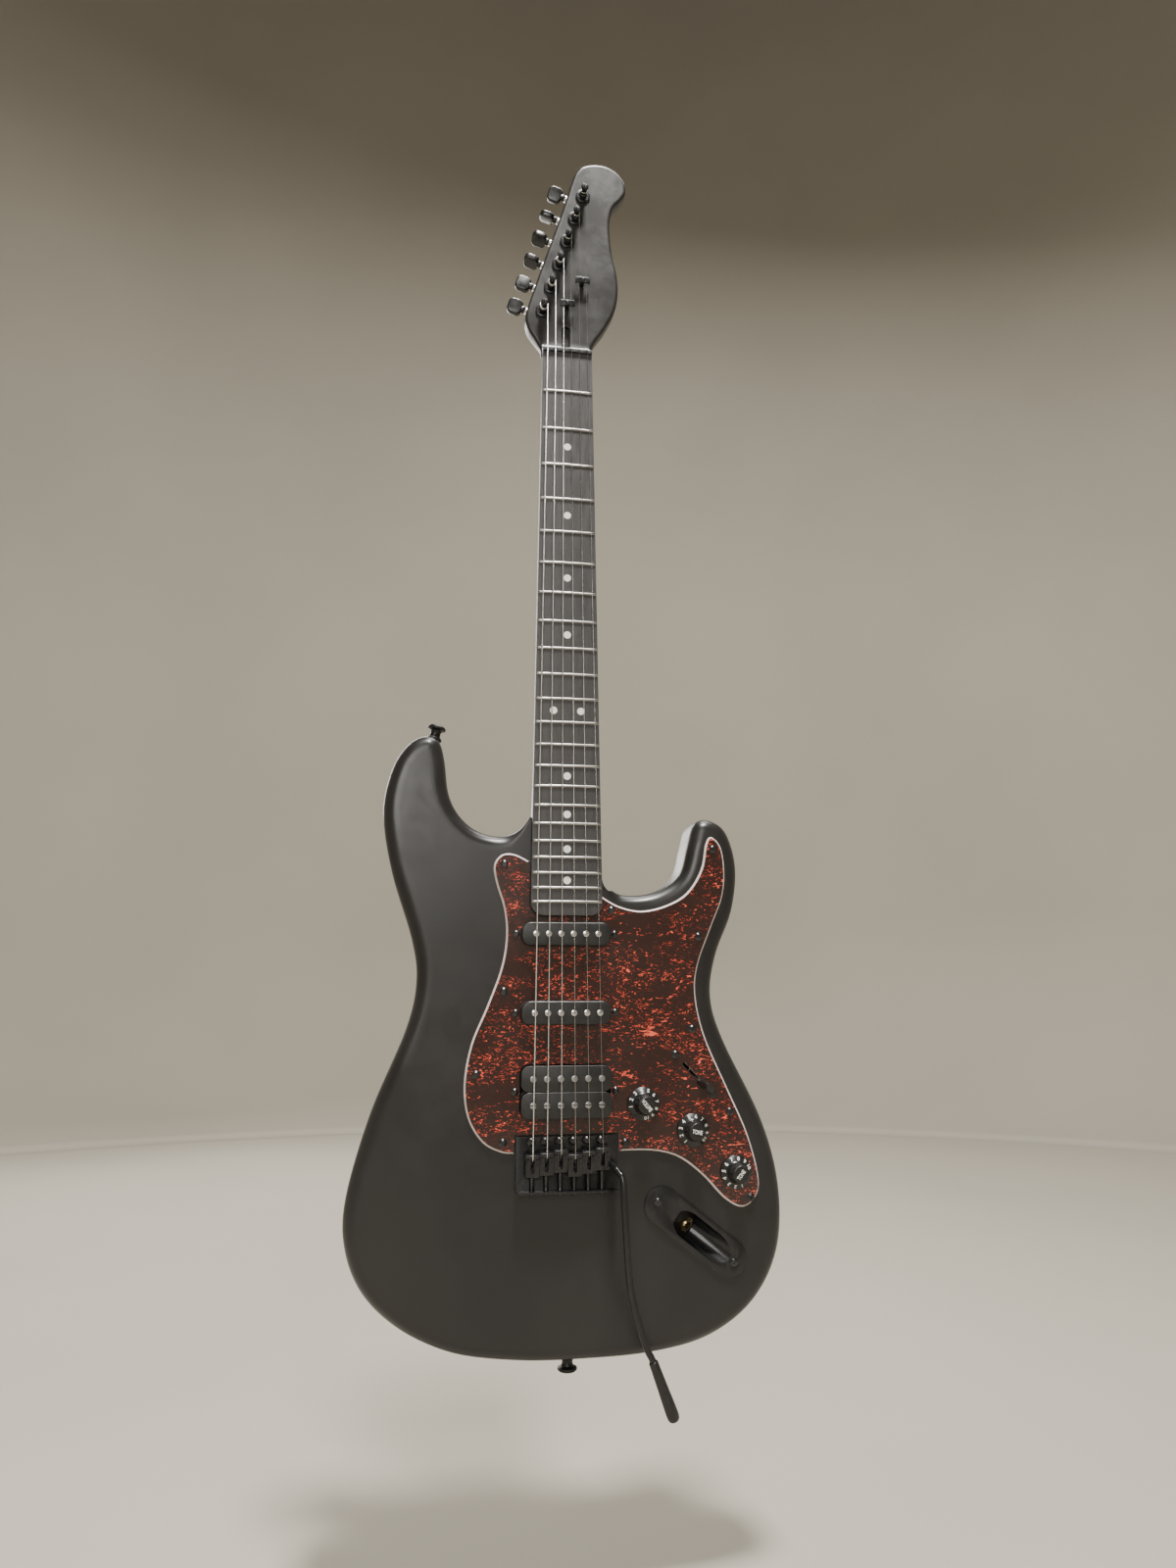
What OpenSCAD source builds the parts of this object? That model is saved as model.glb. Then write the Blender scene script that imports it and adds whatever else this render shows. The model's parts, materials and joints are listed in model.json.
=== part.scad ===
// Electric guitar: solid double-cutaway body, bolt-on neck, three pickups and a
// rocking six-screw tremolo bridge. All sizes are in millimetres.
//
// Every module draws in the luthier's frame: the front face of the body is the plane
// z = 0, y runs up the neck with the nut's front at y = 0, and x points to the thin
// string. hang() then stands the guitar upright, as it hangs by its headstock: the
// front faces -Y, the headstock is at +Z, and the origin is the cradle point.

/* [Neck] */
// Nut to saddles, the vibrating length of a string
scale_length = 648; // [640:1:655]
// Width of the neck at the nut
nut_width = 42; // [41:0.5:43]
// Width of the neck at its heel
heel_width = 56; // [55:0.5:57]
// Number of frets
fret_count = 22; // [21:1:22]
// Crown radius of the fingerboard across its width
board_radius = 350; // [240:10:400]
// Thickness of the fingerboard
board_t = 6; // [5.5:0.5:6.5]
// Thickness of the headstock
head_t = 14; // [13:0.5:15]

/* [Body] */
// Thickness of the body
body_t = 45; // [44:0.5:47]
// Depth of the neck pocket
pocket_depth = 16; // [15.5:0.5:16]
// Thickness of the pickguard
guard_t = 2.4; // [2:0.1:2.6]

/* [Strings and tuners] */
// Distance between strings at the nut
nut_pitch = 6.9; // [6.6:0.1:7.1]
// Distance between strings at the bridge
bridge_pitch = 10.45; // [10.3:0.05:10.6]
// Distance between tuners along the headstock
tuner_pitch = 24.3; // [23.8:0.1:25]
// Lean of the tuner row away from the neck's centre line
tuner_lean = 16.8; // [15:0.2:18]

/* [Electrics] */
// Radius of a knob's skirt
knob_r = 12.3; // [11:0.1:13]
// Radius of the output socket's bore
jack_bore_r = 3.2; // [3.2:0.05:3.3]
// Tilt of the output socket against the face
jack_tilt = 45; // [43:1:47]

/* [Hidden] */

$fn = 48;
// Small step past a face, so that a cut goes right through it
past = 0.5;
// Running clearance of a shaft in its bore
run = 0.06;
// Room round a piece that is dropped into its seat
seat = 0.1;

// Cradle point of the wall hanger, under the headstock's shoulders
hang_y = 20;
hang_z = -8.5;

board_top = 9.5;
board_z = board_top - board_t;
board_end = -476.5;
heel_end = -466;
heel_start = -399;
head_face = -1.5;
head_back = head_face - head_t;
nut_t = 3.4;
nut_top = 11.5;
fret_h = 1.1;
fret_w = 2.2;
dot_frets = [3, 5, 7, 9, 15, 17, 19, 21];
dot_r = 3;

strings_n = 6;
string_d = [1.17, 0.91, 0.66, 0.43, 0.33, 0.25];
// How far behind the scale length each saddle sits
saddle_back = [5, 3.6, 1.7, 4.9, 3.1, 1];
saddle_top = 15;

tuner_start = [-20, 45];
post_r = 3;
post_top = 12.5;
waist_r = 2.3;
wheel_r = 5.2;
worm_r = 2.2;
worm_y = wheel_r + worm_r + 0.3;
worm_z = head_back - 6;
button_turn = [84, 92, 4, 12, -14, 78];
tree_xy = [[0.8, 50.5], [14, 74]];

neck_pickup_y = -490.5;
middle_pickup_y = -550;
bridge_pickup_y = -607.8;
coil_spread = [9.6, 10];
bucker_spread = 10.35;
cover_l = 69.5;
cover_w = 18;
bobbin_l = 68.8;
bobbin_w = 19;
coil_top = [8.5, 9];
bucker_top = 10;
height_screw_x = 38.4;

knob_xy = [[59.5, -618], [98, -638], [131, -669.5]];
knob_base = 3;
knob_top = 16.3;
shaft_r = 3;
switch_xy = [99.7, -597];
switch_turn = -46.4;
switch_screws = 41.3;
switch_pivot_z = -20;
lever_rest = 20;
jack_xy = [99, -711.6];
jack_turn = -37.8;
jack_screws = 73;
socket_x = -6;
socket_z = -11;
cup_r = 9.8;
cup_wall = 1.5;
// Slope of the scoop in front of the output socket
scoop_tilt = 32;

trem_x = 1;
trem_w = 76;
trem_front = -640;
trem_rear = -679.5;
plate_z = 1.5;
plate_t = 2.5;
pivot_y = -643.3;
lip_top = 12;
lip_t = 1.6;
block_front = -653;
block_rear = -667;
block_low = -39;
string_hole_y = -660.5;
arm_xy = [34.5, -661.3];
arm_r = 2.6;
spring_x = [-19, 1, 21];
spring_r = 4;
claw_y = -566;
cavity_z = -28;
cover_t = 1.8;
plate_screw_x = 19;
plate_screw_y = [-406.5, -457.5];

guard_screw_xy = [
    [-48, -437], [36, -472], [119, -422.5], [105.5, -492], [99, -563], [127.5, -625],
    [142, -688], [45.5, -646], [-47, -644], [-67.5, -595], [-47.5, -534]
];
cover_screw_xy = [[-40, -552], [40, -552], [-40, -624], [40, -624], [-40, -695], [40, -695]];
strap_low = [5, -798.1];
strap_high = [-104.5, -335.4];
strap_high_turn = -14;

// Body edge, from the thick-string side of the neck round to the thin-string side
body_edge = [
    [-28, -399], [-37, -410], [-52, -414], [-70, -409.5], [-84, -397], [-92, -380],
    [-95.5, -355], [-100, -339.5], [-110, -335], [-124, -342], [-136, -362], [-142, -397],
    [-134, -443], [-117.5, -494], [-113, -526], [-120, -562], [-144.5, -623],
    [-160.5, -683], [-160, -719], [-146, -750], [-118, -774], [-80, -789.5],
    [-35, -796.5], [10, -798], [65, -796], [110, -786.5], [145, -763], [165, -727],
    [167.5, -680], [155, -631], [126, -571], [117, -538], [122, -506], [136, -471],
    [140.5, -436], [133, -407.5], [118.5, -397.5], [106, -401], [100.5, -418],
    [93, -442], [75, -455.5], [53, -459.5], [37, -455], [31, -441], [29, -402]
];
// Pickguard edge beside the neck on the thick-string side, down to the bridge
guard_left = [
    [-28.4, -434.5], [-40, -429], [-50, -429.5], [-56, -438], [-54, -452], [-48, -471],
    [-46, -492], [-49.5, -516], [-60, -545], [-71.5, -573], [-76.3, -602], [-73, -626],
    [-62, -643.5], [-48, -651], [-38.5, -652]
];
// Pickguard edge from the bridge round the controls and up to the neck
guard_right = [
    [41, -652], [60, -652], [76, -654], [90, -659.5], [106, -672], [122, -688.5],
    [136, -695], [147, -687], [149, -672], [141, -641], [126, -607], [109, -568],
    [102.5, -537], [105, -514], [116, -485.5], [126, -461], [128.5, -440],
    [126, -421], [118.5, -412.5], [113.5, -418], [109, -439], [97, -457.5],
    [80, -467.5], [60, -472], [42, -468.5], [28.4, -461]
];
// Headstock edge, from the nut up the tuner side and down the other
head_edge = [
    [-21.5, 2], [-22.5, 9], [-27, 18], [-33, 28], [-35, 39], [-31.5, 54], [-18.5, 97],
    [-9, 127], [0, 157], [5, 175], [9, 186], [16, 193.5], [28, 196.5], [39, 195],
    [48, 189], [53.5, 180], [54, 170], [49, 161.5], [43, 154], [40, 143], [39.5, 128],
    [41.5, 108], [45.5, 88], [46.5, 70], [43.5, 52], [35.5, 35], [26, 20], [22, 10],
    [21.5, 2]
];
// Centre line of the tremolo arm above its shank
arm_route = [
    [34.5, -661.3, 8], [34.5, -661.4, 16], [36.3, -664, 22], [39, -669.5, 26],
    [39.7, -690, 28], [42.3, -735, 29], [46.5, -757.5, 29], [54.3, -781.5, 28],
    [59.2, -791.3, 27.5], [67.4, -812.5, 26.5]
];

// ---- Functions ----

function unit(v) = v / norm(v);

// Point at t (0 to 1) between b and c on the smooth curve through a, b, c and d
function blend(a, b, c, d, t) = 0.5 * (2 * b + (c - a) * t + (2 * a - 5 * b + 4 * c - d) * t * t
    + (3 * b - a - 3 * c + d) * t * t * t);

// Smooth open curve through the points, with steps points on each stretch
function curve(p, steps) = let (n = len(p)) concat(
    [for (i = [0:n - 2]) for (k = [0:steps - 1])
        blend(p[max(i - 1, 0)], p[i], p[i + 1], p[min(i + 2, n - 1)], k / steps)],
    [p[n - 1]]);

// Distance of a fret from the nut, in equal temperament
function fret_y(n) = -scale_length * (1 - pow(2, -n / 12));

// Width of the neck at a distance y from the nut
function neck_w(y) = nut_width + (heel_width - nut_width) * y / board_end;

function dot_y(n) = (fret_y(n) + fret_y(n - 1)) / 2;

// Place of a string across the neck and the bridge, thick string first
function nut_x(i) = (i - 2.5) * nut_pitch;
function saddle_x(i) = (i - 2.5) * bridge_pitch + 0.4;

// Drop of the crowned surfaces at x, from the top of the crown
function crown(x) = board_radius - sqrt(board_radius * board_radius - x * x);

function saddle_y(i) = -scale_length - saddle_back[i] + 0.5;
function saddle_z(i) = saddle_top - crown(saddle_x(i));
function post_xy(i) = tuner_start + i * tuner_pitch * [sin(tuner_lean), cos(tuner_lean)];

function tangents(p) = let (n = len(p))
    [for (i = [0:n - 1]) unit(p[min(i + 1, n - 1)] - p[max(i - 1, 0)])];

// Carries a normal along the path without twisting it
function normals(t, start, i = 0) = i == len(t) ? [] :
    let (v = unit(start - (start * t[i]) * t[i])) concat([v], normals(t, v, i + 1));

// Rings of points round a path, sides to a ring
function tube_rings(p, r, sides) = let (t = tangents(p), v = normals(t, [1, 0.2, 0.1]))
    [for (i = [0:len(p) - 1]) let (w = cross(t[i], v[i]))
        [for (k = [0:sides - 1]) p[i] + r * (cos(360 * k / sides) * v[i]
            + sin(360 * k / sides) * w)]];

// One cross-section of the neck: flat on top, with a rounded back
function neck_ring(y, w, top, depth, square) = [for (a = [180:-11.25:0])
    [w / 2 * sign(cos(a)) * pow(abs(cos(a)), square), y, top - depth * pow(sin(a), square)]];

// Route of a string: ball end in the block, saddle, nut, tree and its turns on the post
function string_route(i) = let (
        r = string_d[i] / 2,
        wrap_r = waist_r + 0.35 + r,
        post = post_xy(i),
        tree = i < 2 ? [] : [[nut_x(i) + (tree_xy[i < 4 ? 0 : 1][0] - nut_x(i)
            + (i % 2 == 0 ? -3 : 3)) * 0.9, tree_xy[i < 4 ? 0 : 1][1], 3.4]],
        coil_z = 7.2,
        turns = i < 2 ? 2.5 : 3.5,
        z_gap = string_d[i] + 0.12
    ) concat(
        [[saddle_x(i), string_hole_y, -9], [saddle_x(i), string_hole_y, 3],
         [saddle_x(i), string_hole_y + 0.4, 6.5]],
        [for (p = [[-2.9, -0.9], [-1.9, 0.05], [-0.9, 0.25], [0.2, 0.3], [1.4, 0.29]])
            [saddle_x(i), saddle_y(i) + p[0], saddle_z(i) + r + p[1]]],
        [[nut_x(i), 0.2, 10.25 + r], [nut_x(i), nut_t, 10.05 + r]],
        tree,
        [for (a = [-12:24:turns * 360]) [post[0] + wrap_r * cos(a), post[1] + wrap_r * sin(a),
            coil_z - z_gap * max(a, 0) / 360]]);

// ---- Shared shapes ----

// Stands the finished piece upright about the cradle point
module hang() rotate([90, 0, 0]) translate([0, -hang_y, -hang_z]) children();

// Closed skin over a list of rings
module skin(rings) {
    m = len(rings[0]);
    k = len(rings);
    polyhedron(
        points = [for (r = rings) each r],
        faces = concat(
            [[for (j = [0:m - 1]) j]],
            [for (i = [0:k - 2]) for (j = [0:m - 1])
                each [[i * m + j, (i + 1) * m + (j + 1) % m, i * m + (j + 1) % m],
                      [i * m + j, (i + 1) * m + j, (i + 1) * m + (j + 1) % m]]],
            [[for (j = [m - 1:-1:0]) (k - 1) * m + j]]));
}

module tube(route, r, sides = 8) skin(tube_rings(route, r, sides));

// Extrusion between two heights
module slab(low, high) translate([0, 0, low]) linear_extrude(high - low) children();

module bore(r, low, high) translate([0, 0, low]) cylinder(r = r, h = high - low);

// Rectangle with round corners, centred
module pad(l, w, r) {
    square([l - 2 * r, w], center = true);
    square([l, w - 2 * r], center = true);
    for (x = [-1, 1], y = [-1, 1])
        translate([x * (l / 2 - r), y * (w / 2 - r)]) circle(r);
}

// Side view (y, z) swept along x, centred at x = 0
module side_slab(w, outline) rotate([90, 0, 90]) translate([0, 0, -w / 2])
    linear_extrude(w) polygon(outline);

module at(xy, z = 0) translate([xy[0], xy[1], z]) children();

// Cross-headed screw pointing down, its head's underside at z = 0
module screw(head_r, head_h, shank_r, length) difference() {
    union() {
        rotate_extrude() polygon([
            [0, -length], [shank_r * 0.4, -length], [shank_r, -length + 2 * shank_r],
            [shank_r, 0], [head_r, 0], [head_r, head_h * 0.35], [head_r * 0.6, head_h],
            [0, head_h]]);
    }
    for (a = [0, 90]) rotate([0, 0, a])
        translate([-head_r * 0.5, -0.3, head_h * 0.45]) cube([head_r, 0.6, head_h]);
}

module in_tuner(i) at(post_xy(i)) rotate([0, 0, -tuner_lean]) children();

module in_switch() at(switch_xy) rotate([0, 0, switch_turn]) children();

module in_jack() at(jack_xy) rotate([0, 0, jack_turn]) children();

// Along the output socket's bore: z = 0 at the cup's end wall, +z out of the socket
module in_socket() in_jack() translate([socket_x, 0, socket_z])
    rotate([0, 90 - jack_tilt, 0]) children();

// ---- Body and what is screwed to its back ----

module body_outline() polygon(curve(body_edge, 5));

module control_rout() {
    for (p = knob_xy) at(p) circle(15);
    at([79, -628]) rotate([0, 0, -27]) square([46, 22], center = true);
    at([115, -654]) rotate([0, 0, -44]) square([46, 22], center = true);
    at(switch_xy) rotate([0, 0, switch_turn]) pad(52, 22, 5);
    at([100, -622]) square([20, 30], center = true);
}

module body() color("#17181a") difference() {
    slab(-body_t, 0) body_outline();
    slab(-pocket_depth, past) polygon([
        [-neck_w(heel_end) / 2 - seat, heel_end - seat], [neck_w(heel_end) / 2 + seat, heel_end - seat],
        [neck_w(heel_start) / 2 + seat, -390], [-neck_w(heel_start) / 2 - seat, -390]]);
    // The thin-string side of the pocket is open above the cutaway
    slab(-pocket_depth, past) translate([20, -456.5]) square([20, 64.5]);
    slab(-19, past) at([0, neck_pickup_y]) pad(88, 26, 6);
    slab(-19, past) at([0, middle_pickup_y]) pad(88, 26, 6);
    slab(-19, past) at([0, bridge_pickup_y]) pad(90, 46, 6);
    slab(-19, past) translate([-12, -600]) square([24, 110]);
    slab(-19, past) translate([40, -622]) square([30, 14]);
    slab(-38, past) control_rout();
    // Socket recess, and the wire bore from it to the controls
    slab(-34, past) in_jack() pad(70, 25, 10);
    at([107, -690], -22) rotate([-90, 0, -14]) cylinder(r = 4, h = 40);
    // Block opening, and the spring cavity in the back
    slab(-body_t - past, past) translate([trem_x - 37.8, -677]) square([75.6, 29]);
    slab(-body_t - past, -16) translate([trem_x - 40, -687]) square([80, 39]);
    slab(-body_t - past, cavity_z) translate([trem_x - 31, -687]) square([62, 127]);
    // Screw holes
    for (x = [-1, 1], y = plate_screw_y)
        at([x * plate_screw_x, y]) bore(2.3, -body_t - past, 0);
    for (p = guard_screw_xy) at(p) bore(1.1, -13, past);
    for (p = cover_screw_xy) at(p) bore(1.1, -body_t - past, -body_t + 11);
    for (i = [0:5]) at([saddle_x(i) - 0.4, pivot_y]) bore(1.6, -18, past);
    for (s = [-1, 1]) in_jack() at([s * jack_screws / 2, 0]) bore(1.1, -13, past);
    for (x = [trem_x - 15, trem_x + 15])
        at([x, -562], -36.5) rotate([-90, 0, 0]) cylinder(r = 1.8, h = 34);
    at([strap_low[0], strap_low[1] - 1], -body_t / 2) rotate([-90, 0, 0]) cylinder(r = 1.9, h = 27);
    at(strap_high, -body_t / 2) rotate([0, 0, strap_high_turn]) rotate([90, 0, 0])
        translate([0, 0, -1]) cylinder(r = 1.9, h = 27);
}

module neck_plate() color("#1b1b1d") difference() {
    slab(-body_t - 1.6, -body_t) at([0, -432]) pad(51, 64, 4);
    for (x = [-1, 1], y = plate_screw_y)
        at([x * plate_screw_x, y]) bore(2.3, -body_t - 2, -body_t + past);
}

module neck_screws() color("#2a2a2c") for (x = [-1, 1], y = plate_screw_y)
    at([x * plate_screw_x, y], -body_t - 1.6) rotate([180, 0, 0]) screw(4.2, 2.2, 2.1, 44);

module back_cover() color("#1b1b1d") difference() {
    slab(-body_t - cover_t, -body_t) at([trem_x, -624]) pad(92, 156, 8);
    slab(-body_t - 3, -body_t + past) at([trem_x, -664]) pad(68, 20, 4);
    for (p = cover_screw_xy) at(p) bore(1.6, -body_t - 3, -body_t + past);
}

module strap_button() difference() {
    rotate_extrude() polygon([
        [0, 0], [6.2, 0], [6.4, 1.2], [4.2, 3.6], [4, 6], [4.6, 8], [7.2, 9.2],
        [7.4, 10.6], [6.2, 11.8], [0, 12]]);
    bore(2.3, -past, 13);
    translate([0, 0, 9.6]) cylinder(r1 = 2.3, r2 = 4.6, h = 2.6);
}

module strap_buttons() color("#202022") {
    at([strap_low[0], strap_low[1] - 0.1], -body_t / 2) rotate([90, 0, 0]) strap_button();
    at(strap_high, -body_t / 2) rotate([0, 0, strap_high_turn]) translate([0, 0.6, 0])
        rotate([-90, 0, 0]) strap_button();
}

// Wood screws of the strap buttons and of the spring claw
module body_screws() color("#2a2a2c") {
    at([strap_low[0], strap_low[1] - 10.9], -body_t / 2) rotate([90, 0, 0]) screw(3.2, 1.6, 1.8, 34);
    at(strap_high, -body_t / 2) rotate([0, 0, strap_high_turn]) translate([0, 11.4, 0])
        rotate([-90, 0, 0]) screw(3.2, 1.6, 1.8, 34);
    for (x = [trem_x - 15, trem_x + 15])
        at([x, claw_y - 2], -36.5) rotate([90, 0, 0]) screw(3.6, 2, 1.7, 36);
}

// ---- Neck ----

module head_outline() polygon(curve(head_edge, 4));

module neck() color("#232325") difference() {
    union() {
        skin([
            neck_ring(17, 41, -3, 11, 0.7),
            neck_ring(4, nut_width, board_z, 15.2, 0.85),
            neck_ring(-60, neck_w(-60), board_z, 15, 0.85),
            neck_ring(-324, neck_w(-324), board_z, 16.5, 0.8),
            neck_ring(-372, neck_w(-372), board_z, 17, 0.7),
            neck_ring(-392, neck_w(-392), board_z, 18, 0.45),
            neck_ring(-404, neck_w(-404) - 0.4, board_z, 19, 0.25)
        ]);
        difference() {
            slab(head_back, head_face) head_outline();
            side_slab(90, [[-5, -11.4], [2, -11.6], [12, -13.2], [24, head_back - 0.01],
                [24, -25], [-5, -25]]);
        }
        slab(-pocket_depth, board_z) polygon([
            [-neck_w(heel_end) / 2, heel_end], [neck_w(heel_end) / 2, heel_end],
            [neck_w(heel_start) / 2, heel_start], [-neck_w(heel_start) / 2, heel_start]]);
    }
    for (i = [0:5]) in_tuner(i) bore(4.7, head_back - past, head_face + past);
    for (i = [0:5], y = [-6.2, 13.2]) in_tuner(i) at([4, y]) bore(0.9, head_back - past, head_back + 9);
    for (p = tree_xy) at(p) bore(0.9, head_face - 10, head_face + past);
    // Channel of the truss rod, open at the headstock for its key
    translate([-3.1, -440, board_z - 8.5]) cube([6.2, 446, 8.5 + past]);
    slab(-5.2, board_z + past) at([0, 17]) pad(7.4, 30, 3.6);
    for (x = [-1, 1], y = plate_screw_y) at([x * plate_screw_x, y]) bore(2.2, -pocket_depth - past, -1);
}

module fingerboard() color("#2b2c2e") difference() {
    intersection() {
        slab(board_z, board_top + 1) {
            polygon([
                [-nut_width / 2, 0], [nut_width / 2, 0],
                [neck_w(board_end + 10) / 2, board_end + 10],
                [neck_w(board_end) / 2 - 10, board_end + 10],
                [-neck_w(board_end) / 2 + 10, board_end + 10],
                [-neck_w(board_end + 10) / 2, board_end + 10]]);
            translate([-neck_w(board_end) / 2 + 10, board_end])
                square([neck_w(board_end) - 20, 12]);
            for (x = [-1, 1]) at([x * (neck_w(board_end) / 2 - 10.2), board_end + 10]) circle(10);
        }
        translate([0, 10, board_top - board_radius]) rotate([90, 0, 0])
            cylinder(r = board_radius, h = 500, $fn = 360);
    }
    for (n = [1:fret_count]) translate([-40, fret_y(n) - 0.3, board_top - 2.8]) cube([80, 0.6, 4]);
    for (n = dot_frets) at([0, dot_y(n)]) bore(dot_r, board_top - 2, board_top + 1);
    for (x = [-11, 11]) at([x, dot_y(12)]) bore(dot_r, board_top - 2.4, board_top + 1);
}

module position_dots() color("#e8e6df") {
    for (n = dot_frets) at([0, dot_y(n)]) bore(dot_r - 0.02, board_top - 2, board_top - 0.02);
    for (x = [-11, 11])
        at([x, dot_y(12)]) bore(dot_r - 0.02, board_top - 2.4, board_top - crown(x + dot_r) - 0.02);
}

module frets() color("#b9b7b0") for (n = [1:fret_count]) {
    half = neck_w(fret_y(n)) / 2 - 0.4;
    intersection() {
        translate([-half, fret_y(n) - fret_w / 2, board_top - 3]) cube([2 * half, fret_w, 6]);
        difference() {
            translate([0, 10, board_top - board_radius]) rotate([90, 0, 0])
                cylinder(r = board_radius + fret_h, h = 500, $fn = 360);
            translate([0, 20, board_top - board_radius]) rotate([90, 0, 0])
                cylinder(r = board_radius + 0.01, h = 520, $fn = 360);
        }
    }
}

module nut() color("#161617") difference() {
    intersection() {
        translate([-nut_width / 2, 0.02, board_z]) cube([nut_width, nut_t, nut_top - board_z]);
        translate([0, 10, nut_top - board_radius]) rotate([90, 0, 0])
            cylinder(r = board_radius, h = 20, $fn = 360);
    }
    for (i = [0:5]) translate([nut_x(i) - string_d[i] / 2 - 0.15, -1, 10])
        cube([string_d[i] + 0.3, 6, 3]);
}

module truss_rod() color("#6d6f72") {
    translate([-3, -438, board_z - 8.4]) cube([6, 436, 8]);
    at([0, -1.9], board_z - 6) rotate([-90, 0, 0]) difference() {
        cylinder(r = 2.4, h = 8.5);
        translate([0, 0, 4]) cylinder(r = 1.4, h = 6, $fn = 6);
    }
}

module string_trees() color("#1a1a1b") for (p = tree_xy) at(p) difference() {
    union() {
        bore(2, head_face, 4.2);
        slab(4.2, 5.2) pad(13, 5.5, 1.5);
        for (s = [-1, 1]) translate([s * 5.7, 0, 0]) slab(3, 4.4) pad(1.4, 5, 0.5);
    }
    bore(1.1, head_face - past, 6);
}

// ---- Tuners ----

module tuner_housings() color("#1c1c1e") for (i = [0:5]) in_tuner(i) difference() {
    union() {
        slab(head_back - 11.5, head_back) translate([-1.5, 3]) pad(18, 21, 3);
        translate([-10.5, worm_y, worm_z]) rotate([0, -90, 0]) cylinder(r = 3.4, h = 3.5);
    }
    slab(head_back - 10, head_back - 2) translate([-0.5, 3]) pad(13.5, 17.6, 2);
    bore(post_r + run, head_back - 3, head_back + past);
    translate([-6, worm_y, worm_z]) rotate([0, -90, 0]) cylinder(r = 1.9 + run, h = 10);
    for (y = [-6.2, 13.2]) at([4, y]) bore(1.1, head_back - 12, head_back + past);
}

module tuner_bushings() color("#262628") for (i = [0:5]) in_tuner(i) difference() {
    union() {
        bore(4.6, head_back + 0.5, head_face);
        bore(6.4, head_face, head_face + 1.6);
    }
    bore(post_r + run, head_back, head_face + 2);
}

// Machine and wood screws of the tuners and string trees
module headstock_screws() color("#2a2a2c") {
    for (i = [0:5], y = [-6.2, 13.2]) in_tuner(i) at([4, y], head_back - 11.5)
        rotate([180, 0, 0]) screw(1.9, 1, 0.8, 19);
    for (p = tree_xy) at(p, 5.2) screw(1.9, 0.9, 0.8, 15);
}

// String post with its worm wheel, turning in the headstock
module tuner_post(i) color("#2e2e30") in_tuner(i) difference() {
    rotate_extrude() polygon([
        [0, head_back - 9], [wheel_r, head_back - 9], [wheel_r, head_back - 4], [post_r, head_back - 3.9],
        [post_r, 2.2], [waist_r, 3.4], [waist_r, 8.4], [post_r, 9.8], [post_r, post_top - 0.6],
        [post_r - 0.6, post_top], [0, post_top]]);
    translate([0, 0, 10.9]) translate([-0.4, -4, 0]) cube([0.8, 8, 3]);
}

// Button, shaft and worm, drawn along the shaft
module tuner_button(i) color("#1d1d1f") in_tuner(i) translate([0, worm_y, worm_z])
    rotate([0, -90, 0]) rotate([0, 0, button_turn[i]]) {
        translate([0, 0, -6]) cylinder(r = worm_r, h = 13);
        translate([0, 0, 7]) cylinder(r = 1.9, h = 13.5);
        translate([0, 0, 14.3]) cylinder(r1 = 2.6, r2 = 3.2, h = 5);
        translate([0, 0, 19.3]) intersection() {
            rotate([90, 0, 0]) translate([0, 6.6, -3]) linear_extrude(6) button_face();
            translate([-8, -3, 0]) cube([16, 6, 14]);
        }
    }

// Broad face of a tuner button, its shaft coming up from -y
module button_face() intersection() {
    pad(14.2, 13.2, 4.2);
    at([0, 2]) circle(8.2);
}

// ---- Pickguard and electrics ----

module pickguard() color("#5a1f18") difference() {
    slab(0, guard_t) polygon(concat(
        curve(guard_left, 5),
        [[-38.5, trem_front + 1.2], [41, trem_front + 1.2]],
        curve(guard_right, 5),
        [[28.4, heel_end - 1], [-28.4, heel_end - 1]]));
    slab(-past, 3) at([0, neck_pickup_y]) pad(cover_l + 0.5, cover_w + 0.5, 8);
    slab(-past, 3) at([0, middle_pickup_y]) pad(cover_l + 0.5, cover_w + 0.5, 8);
    slab(-past, 3) at([0, bridge_pickup_y]) pad(bobbin_l + 0.6, 2 * bobbin_w + 1.4, 7);
    for (p = knob_xy) at(p) bore(4.8, -past, 3);
    slab(-past, 3) in_switch() pad(24, 2.4, 1.1);
    for (s = [-1, 1]) in_switch() at([s * switch_screws / 2, 0]) bore(1.7, -past, 3);
    for (p = guard_screw_xy) at(p) bore(1.6, -past, 3);
    for (s = [-1, 1], y = [neck_pickup_y, middle_pickup_y, bridge_pickup_y])
        at([s * height_screw_x, y]) bore(1.5, -past, 3);
}

// Small wood screws of the pickguard, the socket plate and the back cover
module cover_screws() color("#2a2a2c") {
    for (p = guard_screw_xy) at(p, guard_t) screw(3, 1.4, 1, 13);
    for (s = [-1, 1]) in_jack() at([s * jack_screws / 2, 0], cup_wall) screw(3, 1.4, 1, 13);
    for (p = cover_screw_xy) at(p, -body_t - cover_t) rotate([180, 0, 0]) screw(3, 1.4, 1, 12);
}

module cover_shell(top) difference() {
    slab(-8, top) pad(cover_l, cover_w, 7.5);
    slab(-8 - past, top - 1.3) pad(cover_l - 2.4, cover_w - 2.4, 6.3);
}

module single_coil_covers() color("#19191a") for (c = [0, 1])
    at([0, c == 0 ? neck_pickup_y : middle_pickup_y]) difference() {
        cover_shell(coil_top[c]);
        for (i = [0:5]) at([(i - 2.5) * coil_spread[c] + 0.6, 0]) bore(2.45, 0, 12);
    }

module single_coil_poles() color("#c9cacc") for (c = [0, 1], i = [0:5])
    at([(i - 2.5) * coil_spread[c] + 0.6, c == 0 ? neck_pickup_y : middle_pickup_y])
        bore(2.4, -12, coil_top[c] + 0.8);

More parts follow.
